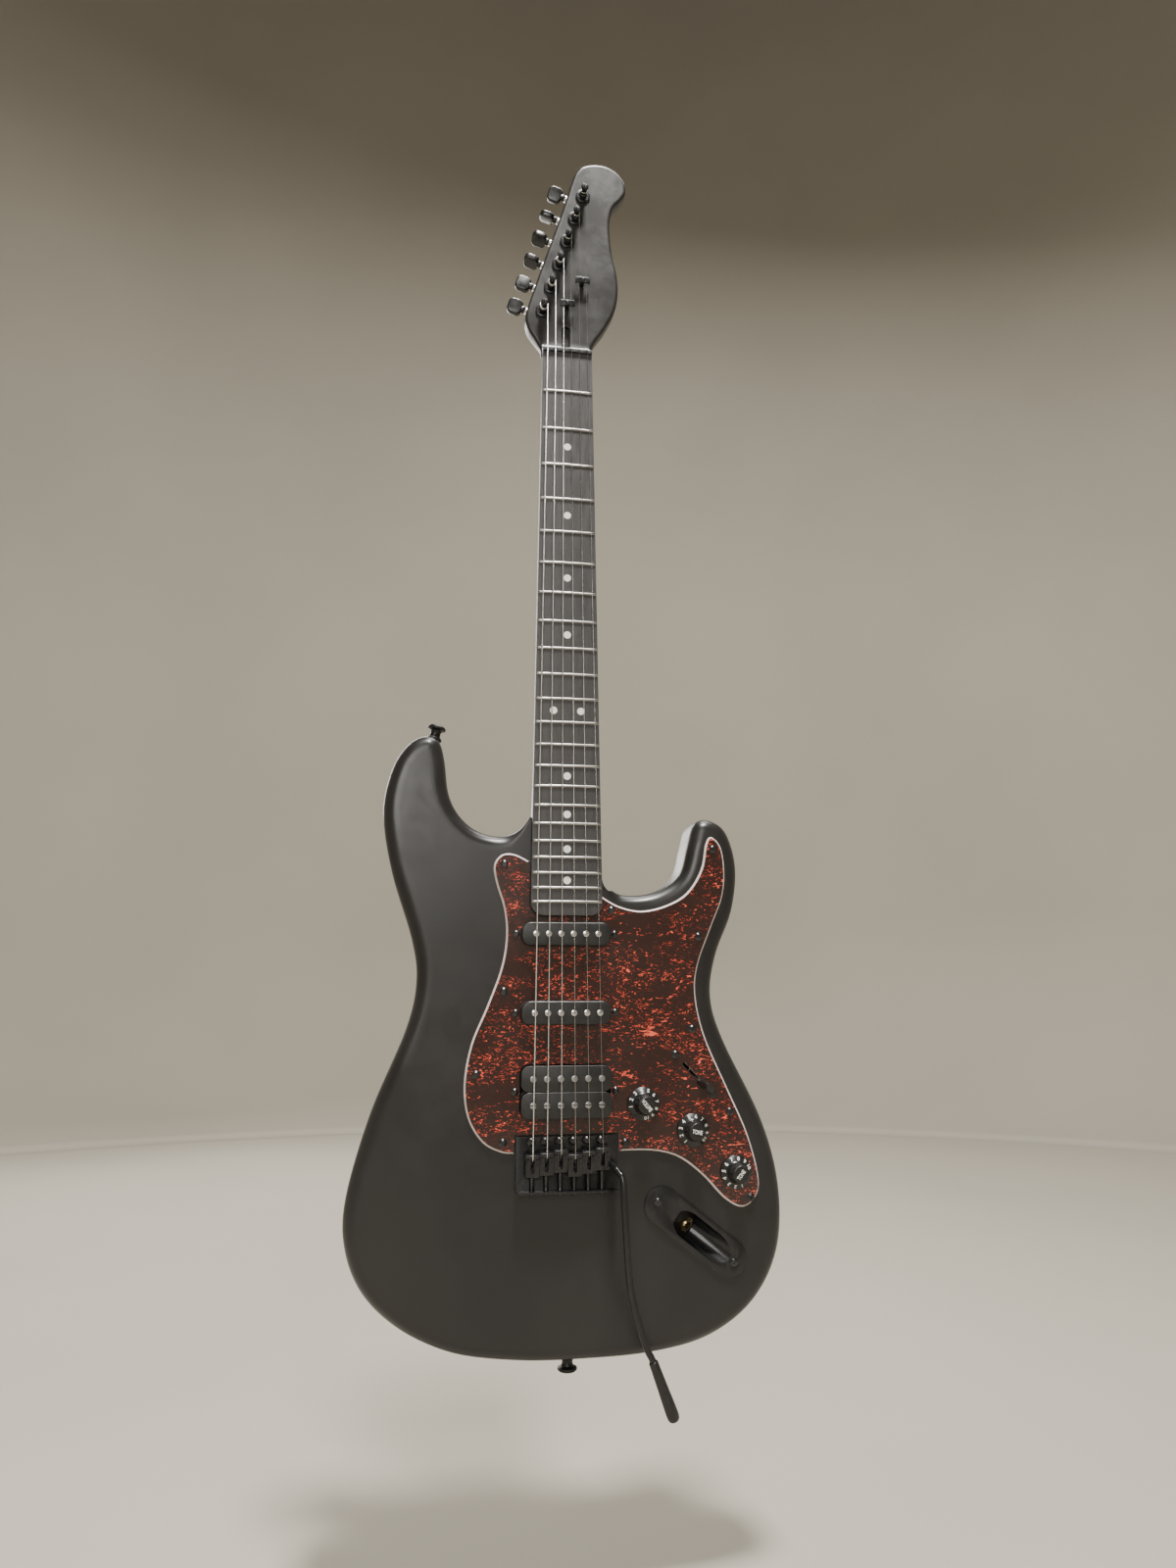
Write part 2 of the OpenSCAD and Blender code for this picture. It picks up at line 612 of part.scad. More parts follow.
// Wire coils of the two single coils and of the humbucker
module coil_windings() color("#5b2f1c") {
    for (c = [0, 1]) at([0, c == 0 ? neck_pickup_y : middle_pickup_y])
        slab(-7, coil_top[c] - 3) difference() {
            pad(64, 13, 6);
            pad(57.5, 5.6, 2.7);
        }
    for (s = [-1, 1]) at([0, bridge_pickup_y + s * (bobbin_w / 2 + 0.1)]) slab(-6.2, bucker_top - 2.2)
        difference() {
            pad(bobbin_l - 2.6, bobbin_w - 2.6, 6);
            pad(60.4, 7, 3);
        }
}

// Open bobbins: two flanges on a hollow core
module humbucker_bobbins() color("#1a1a1b") for (s = [-1, 1])
    at([0, bridge_pickup_y + s * (bobbin_w / 2 + 0.1)]) difference() {
        union() {
            slab(bucker_top - 2, bucker_top) pad(bobbin_l, bobbin_w, 6);
            slab(-8, -6.4) pad(bobbin_l, bobbin_w, 6);
            slab(-8, bucker_top) pad(60, 6.6, 3);
        }
        for (i = [0:5]) at([(i - 2.5) * bucker_spread + 0.6, 0]) bore(2.45, -9, 12);
    }

module humbucker_poles() color("#8b8c8e") for (s = [-1, 1], i = [0:5])
    at([(i - 2.5) * bucker_spread + 0.6, bridge_pickup_y + s * (bobbin_w / 2 + 0.1)])
        difference() {
            bore(2.4, -8, bucker_top + 0.5);
            if (s == -1) translate([-3, -0.35, bucker_top - 0.2]) cube([6, 0.7, 2]);
        }

// Base plates of the pickups, with ears for the height screws
module pickup_bases() color("#3a3b3d") {
    for (c = [0, 1]) at([0, c == 0 ? neck_pickup_y : middle_pickup_y]) difference() {
        slab(-10, -8.05) pad(84, 18, 5);
        for (s = [-1, 1]) at([s * height_screw_x, 0]) bore(1.35, -12, 0);
        for (i = [0:5]) at([(i - 2.5) * coil_spread[c] + 0.6, 0]) bore(2.45, -12, 0);
    }
    at([0, bridge_pickup_y]) difference() {
        slab(-12.5, -11) {
            pad(66, 36, 3);
            pad(84, 14, 3);
        }
        for (s = [-1, 1]) at([s * height_screw_x, 0]) bore(1.35, -14, 0);
    }
    // Bar magnet under the humbucker
    at([0, bridge_pickup_y], -9.55) cube([60, 12, 2.8], center = true);
}

// Height screws of the pickups and the switch's fixing screws
module pickup_screws() color("#2a2a2c") {
    for (s = [-1, 1], y = [neck_pickup_y, middle_pickup_y, bridge_pickup_y])
        at([s * height_screw_x, y], guard_t) screw(2.6, 1.3, 1.25, 18);
    for (s = [-1, 1]) in_switch() at([s * switch_screws / 2, 0], guard_t) screw(3, 1.4, 1.5, 9);
}

module control_pots() color("#8f9193") for (p = knob_xy) at(p) difference() {
    union() {
        bore(12, -13, -1.6);
        bore(4.7, -1.7, 5.4);
        bore(6.2, guard_t, guard_t + 2, $fn = 6);
        for (a = [-1, 0, 1]) translate([a * 4.5, -12, -11]) cube([2.2, 4, 0.8], center = true);
    }
    bore(shaft_r + run, -11, 6);
}

module tone_capacitor() color("#b0672c") at([114, -652], -24) rotate([0, 0, -44]) {
    cube([16, 8, 4], center = true);
    for (s = [-1, 1]) translate([s * 5, 0, 2]) cylinder(r = 0.4, h = 8);
}

// Switch frame: top strap, two cheeks, the pivot pin and the contact wafer
module switch_frame() color("#9a9c9e") in_switch() {
    difference() {
        translate([0, 0, -0.8]) cube([50, 9, 1.5], center = true);
        translate([0, 0, -0.8]) cube([28, 3.4, 3], center = true);
        for (s = [-1, 1]) at([s * switch_screws / 2, 0]) bore(1.55, -3, 1);
    }
    for (s = [-1, 1]) translate([0, s * 4, switch_pivot_z / 2 - 3.2])
        cube([24, 1.2, -switch_pivot_z + 5.4], center = true);
    translate([0, 0, switch_pivot_z]) rotate([90, 0, 0]) cylinder(r = 1.5, h = 9, center = true);
    translate([0, 6, -17]) cube([40, 1.6, 26], center = true);
    translate([0, 5, -17]) cube([6, 1, 10], center = true);
}

// Blade lever, leaning to the bridge position
module switch_lever() color("#b4b6b8") in_switch() translate([0, 0, switch_pivot_z])
    rotate([0, lever_rest, 0]) difference() {
        union() {
            rotate([90, 0, 0]) cylinder(r = 4, h = 3, center = true);
            translate([-1.8, -0.6, 0]) cube([3.6, 1.2, 31]);
        }
        rotate([90, 0, 0]) cylinder(r = 1.5 + run, h = 5, center = true);
    }

module switch_tip() color("#141415") in_switch() translate([0, 0, switch_pivot_z])
    rotate([0, lever_rest, 0]) difference() {
        translate([0, 0, 26]) slab(0, 12) pad(7.6, 5, 2.4);
        translate([-1.85, -0.65, 25]) cube([3.7, 1.3, 6.1]);
    }

// Knob with its skirt, cap and the pot's shaft
module knob(p) color("#161617") at(p) {
    difference() {
        rotate_extrude() polygon([
            [0, knob_base], [knob_r, knob_base], [knob_r, knob_base + 0.9], [8.4, knob_base + 3.2],
            [7.2, knob_base + 5], [6.4, knob_top - 0.7], [5.7, knob_top], [0, knob_top]]);
        bore(7.4, knob_base - past, knob_base + 3);
    }
    bore(shaft_r, -10, knob_base + 5);
}

module volume_knob() knob(knob_xy[0]);
module tone_knob_1() knob(knob_xy[1]);
module tone_knob_2() knob(knob_xy[2]);

// Scoop of the socket plate: a recess along the plug, eased out towards the plate's far end
module scoop(r, back) {
    in_socket() slab(back, 60) translate([-4.5, 0]) pad(2 * r + 9, 2 * r, r - 0.05);
    in_jack() translate([socket_x, 0, socket_z]) rotate([0, 90 - scoop_tilt, 0])
        bore(r, back + 3, 60);
}

// Socket plate, dished into a scoop whose end wall carries the socket
module jack_plate() color("#1b1b1d") difference() {
    union() {
        slab(0, cup_wall) in_jack() pad(91, 28, 13.9);
        intersection() {
            scoop(cup_r + cup_wall, -cup_wall);
            slab(-40, 0.1) in_jack() square([68, 24], center = true);
        }
    }
    scoop(cup_r, 0);
    in_socket() bore(4.8, -3, 1);
    for (s = [-1, 1]) in_jack() at([s * jack_screws / 2, 0]) bore(1.6, -past, 3);
}

// Output socket: threaded barrel with its nut, and the contact frame behind it
module output_jack() color("#b8a36a") difference() {
    in_socket() {
        bore(4.7, -9, 2.6);
        bore(6.6, 0, 1.6, $fn = 6);
        bore(8.5, -10.5, -cup_wall - 0.1);
    }
    in_socket() bore(jack_bore_r, -12, 4);
}

// ---- Tremolo ----

module pivot_screws() color("#2a2a2c") for (i = [0:5])
    at([saddle_x(i) - 0.4, pivot_y], 5.2) screw(3.1, 1.6, 1.5, 22);

module bridge_plate() color("#1d1d1f") difference() {
    union() {
        slab(plate_z, plate_z + plate_t) translate([trem_x - trem_w / 2, trem_rear])
            square([trem_w, trem_front - trem_rear]);
        translate([trem_x, 0, 0]) side_slab(trem_w, [
            [trem_rear, plate_z], [trem_rear + lip_t, plate_z], [trem_rear + lip_t, lip_top],
            [trem_rear, lip_top]]);
    }
    for (i = [0:5]) {
        at([saddle_x(i) - 0.4, pivot_y]) bore(2.3, 0, 6);
        at([saddle_x(i), string_hole_y]) bore(1.6, 0, 6);
        translate([saddle_x(i), trem_rear - 1, saddle_z(i) - 7]) rotate([-90, 0, 0])
            cylinder(r = 1.5, h = 4);
    }
    at(arm_xy) bore(arm_r + run, 0, 6);
}

module trem_block() color("#2f2f31") difference() {
    slab(block_low, plate_z) translate([trem_x - 36.5, block_rear])
        square([73, block_front - block_rear]);
    for (i = [0:5]) at([saddle_x(i), string_hole_y]) {
        bore(2.3, block_low - past, -8);
        bore(1.3, -9, 3);
    }
    at(arm_xy) bore(arm_r + run, -16, 3);
    for (x = spring_x) at([x, block_front - 4]) bore(1.3, block_low - past, block_low + 9);
}

// Bent-steel saddle in side view, (0, 0) where the string leaves it
saddle_side = [
    [1.6, -4], [1.2, -1.4], [0.2, 0], [-1.8, -0.2], [-13.4, -2.2], [-15.4, -3.4], [-15.4, -9.6],
    [-13.8, -9.6], [-13.8, -4.2], [-2.2, -2], [-0.4, -2.2], [0.2, -4]
];

module saddles() color("#222224") for (i = [0:5])
    translate([saddle_x(i), saddle_y(i), saddle_z(i)]) difference() {
        side_slab(10.2, saddle_side);
        for (s = [-1, 1]) at([s * 3.7, -3.6]) bore(1.25, -5, 2);
        slab(-6, 2) translate([0, -7.4]) pad(2.8, 10.8, 1.3);
        translate([0, -17, -7]) rotate([-90, 0, 0]) cylinder(r = 1.25, h = 6);
    }

module saddle_screws() color("#8d8f92") for (i = [0:5], s = [-1, 1])
    at([saddle_x(i) + s * 3.7, saddle_y(i) - 3.6]) difference() {
        bore(1.2, plate_z + plate_t, saddle_z(i) + 0.8);
        bore(0.6, saddle_z(i) - 1, saddle_z(i) + 2, $fn = 6);
    }

module intonation_screws() color("#8d8f92") for (i = [0:5])
    translate([saddle_x(i), trem_rear, saddle_z(i) - 7]) rotate([90, 0, 0])
        screw(2.5, 1.7, 1.2, trem_rear * -1 + saddle_y(i) - 12);

module intonation_springs() color("#a9abad") for (i = [0:5])
    translate([saddle_x(i), trem_rear + lip_t, saddle_z(i) - 7]) rotate([-90, 0, 0]) difference() {
        cylinder(r = 2.1, h = saddle_y(i) - 15.5 - trem_rear - lip_t);
        translate([0, 0, -1]) cylinder(r = 1.4, h = 30);
    }

module trem_arm() color("#1a1a1b") {
    at(arm_xy) bore(arm_r, -14, 10);
    tube(curve(arm_route, 4), arm_r - 0.15, 12);
}

module arm_tip() color("#111112") {
    start = arm_route[8];
    dir = unit(arm_route[9] - arm_route[8]);
    translate(start) rotate([acos(dir[2]), 0, atan2(dir[0], -dir[1])]) difference() {
        rotate_extrude() polygon([
            [0, 0], [3.1, 0], [3.4, 0.6], [4.2, 28], [4.6, 38], [4.3, 41], [3, 43.2], [0, 44]]);
        bore(arm_r + 0.15, -past, 25);
    }
}

// Claw that holds the springs at the neck end of the cavity
module spring_claw() color("#8a8c8f") difference() {
    union() {
        translate([trem_x - 28, claw_y - 2, -43]) cube([56, 2, 13]);
        for (x = spring_x) translate([x - 2, claw_y - 6, -43]) cube([4, 6, 1.6]);
    }
    for (x = [trem_x - 15, trem_x + 15])
        at([x, claw_y - 4], -36.5) rotate([-90, 0, 0]) cylinder(r = 1.9, h = 6);
}

// Coil springs, drawn as their outer tubes
module trem_springs() color("#9fa1a4") for (x = spring_x)
    at([x, claw_y - 6.2], -34.6) rotate([90, 0, 0]) difference() {
        cylinder(r = spring_r, h = -block_front + claw_y - 6.6);
        translate([0, 0, -past]) cylinder(r = spring_r - 1.2, h = 100);
    }

module strings() color("#c8c8c6") for (i = [0:strings_n - 1]) {
    tube(string_route(i), string_d[i] / 2);
    at([saddle_x(i), string_hole_y], -11) cylinder(r = 1.9, h = 2.5);
}

module tuner_button_1() tuner_button(0);
module tuner_button_2() tuner_button(1);
module tuner_button_3() tuner_button(2);
module tuner_button_4() tuner_button(3);
module tuner_button_5() tuner_button(4);
module tuner_button_6() tuner_button(5);
module tuner_post_1() tuner_post(0);
module tuner_post_2() tuner_post(1);
module tuner_post_3() tuner_post(2);
module tuner_post_4() tuner_post(3);
module tuner_post_5() tuner_post(4);
module tuner_post_6() tuner_post(5);

hang() body();
hang() neck();
hang() fingerboard();
hang() frets();
hang() position_dots();
hang() nut();
hang() truss_rod();
hang() neck_plate();
hang() neck_screws();
hang() string_trees();
hang() headstock_screws();
hang() tuner_housings();
hang() tuner_bushings();
hang() strap_buttons();
hang() body_screws();
hang() pickguard();
hang() cover_screws();
hang() single_coil_covers();
hang() single_coil_poles();
hang() coil_windings();
hang() humbucker_bobbins();
hang() humbucker_poles();
hang() pickup_bases();
hang() pickup_screws();
hang() control_pots();
hang() tone_capacitor();
hang() switch_frame();
hang() jack_plate();
hang() output_jack();
hang() pivot_screws();
hang() spring_claw();
hang() back_cover();
hang() strings();
hang() trem_springs();
hang() bridge_plate();
hang() trem_block();
hang() saddles();
hang() saddle_screws();
hang() intonation_screws();
hang() intonation_springs();
hang() trem_arm();
hang() arm_tip();
hang() volume_knob();
hang() tone_knob_1();
hang() tone_knob_2();
hang() switch_lever();
hang() switch_tip();
hang() tuner_button_1();
hang() tuner_button_2();
hang() tuner_button_3();
hang() tuner_button_4();
hang() tuner_button_5();
hang() tuner_button_6();
hang() tuner_post_1();
hang() tuner_post_2();
hang() tuner_post_3();
hang() tuner_post_4();
hang() tuner_post_5();
hang() tuner_post_6();
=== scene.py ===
"""Electric guitar: its looks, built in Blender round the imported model.

Shapes are worked out in the luthier's frame, in millimetres: x towards the thin string,
y up the neck from the nut, z out of the body's front face. ``upright`` turns them into the
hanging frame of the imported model, in metres.
"""
import json
import logging
import math
from dataclasses import dataclass, field
from enum import Enum
from typing import Callable, Iterable, Sequence

import bmesh
import bpy
import numpy as np
from mathutils import Matrix, Vector
from mathutils.geometry import delaunay_2d_cdt

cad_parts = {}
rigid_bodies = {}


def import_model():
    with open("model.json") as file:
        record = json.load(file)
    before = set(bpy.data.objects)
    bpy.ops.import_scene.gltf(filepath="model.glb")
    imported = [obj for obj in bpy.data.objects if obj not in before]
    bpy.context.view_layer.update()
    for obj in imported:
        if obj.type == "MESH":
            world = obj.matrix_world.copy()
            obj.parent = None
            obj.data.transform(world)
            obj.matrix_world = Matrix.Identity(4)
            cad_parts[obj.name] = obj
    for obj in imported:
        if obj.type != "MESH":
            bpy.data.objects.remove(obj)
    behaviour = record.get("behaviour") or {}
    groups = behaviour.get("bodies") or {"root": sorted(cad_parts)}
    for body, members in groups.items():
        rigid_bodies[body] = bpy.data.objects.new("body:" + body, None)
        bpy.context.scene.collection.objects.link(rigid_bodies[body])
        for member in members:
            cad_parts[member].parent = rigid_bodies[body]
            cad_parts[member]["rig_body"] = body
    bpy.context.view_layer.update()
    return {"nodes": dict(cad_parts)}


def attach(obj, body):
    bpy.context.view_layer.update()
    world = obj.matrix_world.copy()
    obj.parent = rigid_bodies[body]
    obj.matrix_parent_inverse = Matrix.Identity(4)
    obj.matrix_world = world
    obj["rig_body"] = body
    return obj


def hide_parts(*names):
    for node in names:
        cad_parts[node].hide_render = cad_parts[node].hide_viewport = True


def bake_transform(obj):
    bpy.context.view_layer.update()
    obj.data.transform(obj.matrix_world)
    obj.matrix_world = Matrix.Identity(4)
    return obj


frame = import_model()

LOG = logging.getLogger("guitar")

# Where the luthier's origin hangs
HANG_Y = 20.0
HANG_Z = -8.5

# Neck
SCALE_LENGTH = 648.0
BOARD_TOP = 9.5
BOARD_UNDER = 3.5
BOARD_END = -476.5
BOARD_RADIUS = 350.0
NUT_WIDTH = 42.0
HEEL_WIDTH = 56.0
HEEL_END = -466.0
HEAD_FACE = -1.5
HEAD_BACK = -15.5

# Body, and what both it and the guard are cut for
BODY_THICK = 45.0
GUARD_THICK = 2.4
PICKUP_Y = (-490.5, -550.0, -607.8)
POT_CENTRES = ((59.5, -618.0), (98.0, -638.0), (131.0, -669.5))
SWITCH_CENTRE = (99.7, -597.0)
SWITCH_LEAN = -46.4
TREM_X = 1.0

# The two bodies that springs and strings join
GUITAR = "guitar"
TREMOLO = "tremolo"

Point2 = tuple[float, float]
Point3 = tuple[float, float, float]


# ---- Curves and sizes ----


def upright(points: np.ndarray | Sequence) -> np.ndarray:
    """Turns luthier's millimetres into the hanging frame's metres.

    Args:
        points: Rows of x, y, z.

    Returns:
        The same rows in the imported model's frame.
    """
    p = np.asarray(points, float).reshape(-1, 3)
    return np.stack([p[:, 0], HANG_Z - p[:, 2], p[:, 1] - HANG_Y], 1) / 1000


def smooth_curve(points: Sequence[Sequence[float]], steps: int) -> np.ndarray:
    """Smooth open curve through given points.

    Args:
        points: The points it passes through.
        steps: Pieces on each stretch.

    Returns:
        Points along the curve, the ends included.
    """
    p = np.asarray(points, float)
    last = len(p) - 1
    found = []
    for i in range(last):
        a, b, c, d = p[max(i - 1, 0)], p[i], p[i + 1], p[min(i + 2, last)]
        for k in range(steps):
            t = k / steps
            found.append(0.5 * (2 * b + (c - a) * t + (2 * a - 5 * b + 4 * c - d) * t * t
                                + (3 * b - a - 3 * c + d) * t ** 3))
    return np.array(found + [p[last]])


def even(points: np.ndarray, spacing: float) -> np.ndarray:
    """Closed outline walked again in steps of about the same length.

    Args:
        points: The outline.
        spacing: Length of a step.

    Returns:
        The new outline.
    """
    ring = np.vstack([points, points[:1]])
    along = np.concatenate([[0], np.cumsum(np.linalg.norm(np.diff(ring, axis=0), axis=1))])
    count = max(8, round(along[-1] / spacing))
    at = np.arange(count) * along[-1] / count
    return np.stack([np.interp(at, along, ring[:, k]) for k in range(2)], 1)


def inward(ring: np.ndarray) -> np.ndarray:
    """Unit normals of a closed outline, pointing inside it.

    Args:
        ring: The outline.

    Returns:
        One normal for each of its points.
    """
    t = np.roll(ring, -1, 0) - np.roll(ring, 1, 0)
    t /= np.linalg.norm(t, axis=1)[:, None]
    x, y = ring[:, 0], ring[:, 1]
    turning = np.sum(x * np.roll(y, -1) - y * np.roll(x, -1))
    return np.stack([-t[:, 1], t[:, 0]], 1) * (1 if turning > 0 else -1)


def to_edge(points: np.ndarray, ring: np.ndarray) -> np.ndarray:
    """Distance of each point from a closed outline.

    Args:
        points: Rows of x, y.
        ring: The outline.

    Returns:
        The distances.
    """
    a, b = ring, np.roll(ring, -1, 0)
    d = b - a
    size = np.maximum((d * d).sum(1), 1e-9)
    best = np.full(len(points), 1e9)
    for k in range(len(a)):
        t = np.clip(((points - a[k]) @ d[k]) / size[k], 0, 1)
        best = np.minimum(best, np.linalg.norm(points - a[k] - t[:, None] * d[k], axis=1))
    return best


def inside(points: np.ndarray, ring: np.ndarray) -> np.ndarray:
    """Whether each point lies inside a closed outline.

    Args:
        points: Rows of x, y.
        ring: The outline.

    Returns:
        True for each point inside.
    """
    x, y = points[:, 0], points[:, 1]
    hit = np.zeros(len(points), bool)
    for (ax, ay), (bx, by) in zip(ring, np.roll(ring, -1, 0)):
        spans = (ay > y) != (by > y)
        if by != ay:
            hit ^= spans & (x < (bx - ax) * (y - ay) / (by - ay) + ax)
    return hit


def fret_y(n: float) -> float:
    """Place of a fret along the neck, in equal temperament."""
    return -SCALE_LENGTH * (1 - 2 ** (-n / 12))


def neck_width(y: float) -> float:
    """Width of the neck at a distance y from the nut."""
    return NUT_WIDTH + (HEEL_WIDTH - NUT_WIDTH) * y / BOARD_END


def crown(x: float) -> float:
    """Drop of the crowned fingerboard at x, from the top of its crown."""
    return BOARD_RADIUS - math.sqrt(BOARD_RADIUS ** 2 - x * x)


def ease(t: np.ndarray | float) -> np.ndarray | float:
    """Smooth step from 0 to 1 as t goes from 0 to 1."""
    t = np.clip(t, 0, 1)
    return t * t * (3 - 2 * t)


def pad_outline(length: float, width: float, radius: float, steps: int = 8) -> np.ndarray:
    """Rectangle with round corners, centred, counter-clockwise.

    Args:
        length: Size along x.
        width: Size along y.
        radius: Corner radius.
        steps: Steps round each corner.

    Returns:
        The outline.
    """
    found = []
    for sx, sy, start in ((1, 1, 0), (-1, 1, 90), (-1, -1, 180), (1, -1, 270)):
        for k in range(steps + 1):
            a = math.radians(start + 90 * k / steps)
            found.append((sx * (length / 2 - radius) + radius * math.cos(a),
                          sy * (width / 2 - radius) + radius * math.sin(a)))
    return np.array(found)


# ---- Shader sheets ----


class Wire:
    """An output socket whose arithmetic adds Math nodes."""

    def __init__(self, sheet: "ShaderSheet", socket: bpy.types.NodeSocket) -> None:
        """Holds a socket of a sheet."""
        self.sheet = sheet
        self.socket = socket

    def _math(self, operation: str, first: "Wire | float", second: "Wire | float") -> "Wire":
        """One Math node on two values."""
        node = self.sheet.node("ShaderNodeMath", {"operation": operation}, {0: first, 1: second})
        return Wire(self.sheet, node.outputs[0])

    def __add__(self, other: "Wire | float") -> "Wire":
        """Sum."""
        return self._math("ADD", self, other)

    __radd__ = __add__

    def __sub__(self, other: "Wire | float") -> "Wire":
        """Difference."""
        return self._math("SUBTRACT", self, other)

    def __rsub__(self, other: "Wire | float") -> "Wire":
        """Difference from a number."""
        return self._math("SUBTRACT", other, self)

    def __mul__(self, other: "Wire | float") -> "Wire":
        """Product."""
        return self._math("MULTIPLY", self, other)

    __rmul__ = __mul__

    def sine(self) -> "Wire":
        """Sine of the value in radians."""
        return self._math("SINE", self, 0.0)

    def between(self, low: float, high: float, start: float = 0.0, end: float = 1.0) -> "Wire":
        """Smoothly maps low..high to start..end, and holds beyond them.

        Args:
            low: Value that gives start.
            high: Value that gives end.
            start: Result at low.
            end: Result at high.

        Returns:
            The mapped value.
        """
        node = self.sheet.node("ShaderNodeMapRange", {"interpolation_type": "SMOOTHSTEP"},
                               {"Value": self, "From Min": low, "From Max": high,
                                "To Min": start, "To Max": end})
        return Wire(self.sheet, node.outputs[0])


class ShaderSheet:
    """A material and the nodes that are laid out on it."""

    def __init__(self, name: str) -> None:
        """Starts a node tree with a Principled shader and the object's coordinates.

        Args:
            name: Name of the material.
        """
        self.material = bpy.data.materials.new(name)
        self.material.use_nodes = True
        self.tree = self.material.node_tree
        self.shader = self.tree.nodes["Principled BSDF"]
        self.place = self.wire(self.node("ShaderNodeTexCoord", {}, {}), "Object")

    def node(self, kind: str, settings: dict, inputs: dict) -> bpy.types.Node:
        """Makes any node.

        Args:
            kind: The node's Blender type.
            settings: Properties set first; ``stops`` fills a ramp with (place, colour) pairs.
            inputs: Socket name or number to a value or a Wire.

        Returns:
            The new node.
        """
        made = self.tree.nodes.new(kind)
        for name, value in settings.items():
            if name == "stops":
                self._fill_ramp(made.color_ramp, value)
            else:
                setattr(made, name, value)
        for name, value in inputs.items():
            self.feed(made.inputs[name], value)
        return made

    @staticmethod
    def _fill_ramp(ramp: bpy.types.ColorRamp, stops: Sequence[tuple[float, Sequence]]) -> None:
        """Sets a ramp's stops.

        Args:
            ramp: The ramp.
            stops: Pairs of place and colour.
        """
        while len(ramp.elements) < len(stops):
            ramp.elements.new(1.0)
        for element, (place, colour) in zip(ramp.elements, stops):
            element.position = place
            element.color = (*colour, 1.0)

    def feed(self, socket: bpy.types.NodeSocket, value: "Wire | float | Sequence") -> None:
        """Links a wire to a socket, or sets the socket's own value.

        Args:
            socket: The socket.
            value: A wire, a number or a colour.
        """
        if isinstance(value, Wire):
            self.tree.links.new(value.socket, socket)
        elif hasattr(value, "__len__") and len(value) == 3 and socket.type == "RGBA":
            socket.default_value = (*value, 1.0)
        else:
            socket.default_value = value

    def wire(self, node: bpy.types.Node, output: str | int = 0) -> Wire:
        """A node's output as a Wire."""
        return Wire(self, node.outputs[output])

    def stretched(self, scale: Sequence[float], turn: Sequence[float] = (0, 0, 0)) -> Wire:
        """Object coordinates, scaled and turned.

        Args:
            scale: Scale along x, y and z.
            turn: Turn about them.

        Returns:
            The coordinates.
        """
        node = self.node("ShaderNodeMapping", {}, {"Vector": self.place, "Scale": scale,
                                                    "Rotation": turn})
        return self.wire(node)

    def noise(self, scale: float, detail: float = 3.0, vector: Wire | None = None,
              rough: float = 0.5, distortion: float = 0.0) -> Wire:
        """Noise between 0 and 1.

        Args:
            scale: Waves to the metre.
            detail: Layers of finer noise.
            vector: Coordinates, or None for the object's own.
            rough: Weight of the finer layers.
            distortion: How far it is swirled.

        Returns:
            The noise.
        """
        node = self.node("ShaderNodeTexNoise", {}, {
            "Vector": vector or self.place, "Scale": scale, "Detail": detail,
            "Roughness": rough, "Distortion": distortion})
        return self.wire(node)

    def axis(self, name: str) -> Wire:
        """One object coordinate in metres: X, Y or Z."""
        return self.wire(self.node("ShaderNodeSeparateXYZ", {}, {0: self.place}), name)

    def ramp(self, value: Wire, stops: Sequence[tuple[float, Sequence]]) -> Wire:
        """A colour ramp over a value."""
        return self.wire(self.node("ShaderNodeValToRGB", {"stops": stops}, {0: value}))

    def blend(self, amount: Wire, first: Wire | Sequence, second: Wire | Sequence) -> Wire:
        """Mix of two colours.

        Args:
            amount: 0 for the first, 1 for the second.
            first: A colour.
            second: Another.

        Returns:
            The mixed colour.
        """
        node = self.node("ShaderNodeMix", {"data_type": "RGBA"}, {0: amount})
        self.feed(node.inputs[6], first)
        self.feed(node.inputs[7], second)
        return self.wire(node, 2)

    def bump(self, height: Wire, strength: float, distance: float) -> Wire:
        """Normal raised by a height, its distance in metres."""
        return self.wire(self.node("ShaderNodeBump", {}, {
            "Height": height, "Strength": strength, "Distance": distance}))

    def finish(self, **sockets: "Wire | float | Sequence") -> bpy.types.Material:
        """Feeds the shader's sockets.

        Args:
            **sockets: Values by socket name, its spaces as underscores.

        Returns:
            The finished material.
        """
        for name, value in sockets.items():
            self.feed(self.shader.inputs[name.replace("_", " ")], value)
        return self.material


# ---- Finishes ----


@dataclass(frozen=True)
class SatinCoat:
    """Sprayed satin paint or lacquer, with faint orange peel and handling marks."""

    name: str
    colour: tuple[float, float, float]
    roughness: float
    peel: float = 0.05

    def material(self) -> bpy.types.Material:
        """Builds the material.

        Returns:
            The material.
        """
        sheet = ShaderSheet(self.name)
        haze = sheet.noise(9.0, 4.0)
        hands = sheet.noise(34.0, 5.0, rough=0.65)
        dust = sheet.noise(1900.0, 2.0)
        tone = sheet.blend(haze.between(0.3, 0.7), self.colour,
                           [1.35 * c + 0.001 for c in self.colour])
        rough = hands.between(0.35, 0.75, self.roughness - 0.05, self.roughness + 0.07)
        return sheet.finish(Base_Color=tone, Roughness=rough,
                            Normal=sheet.bump(dust, self.peel, 0.0002))


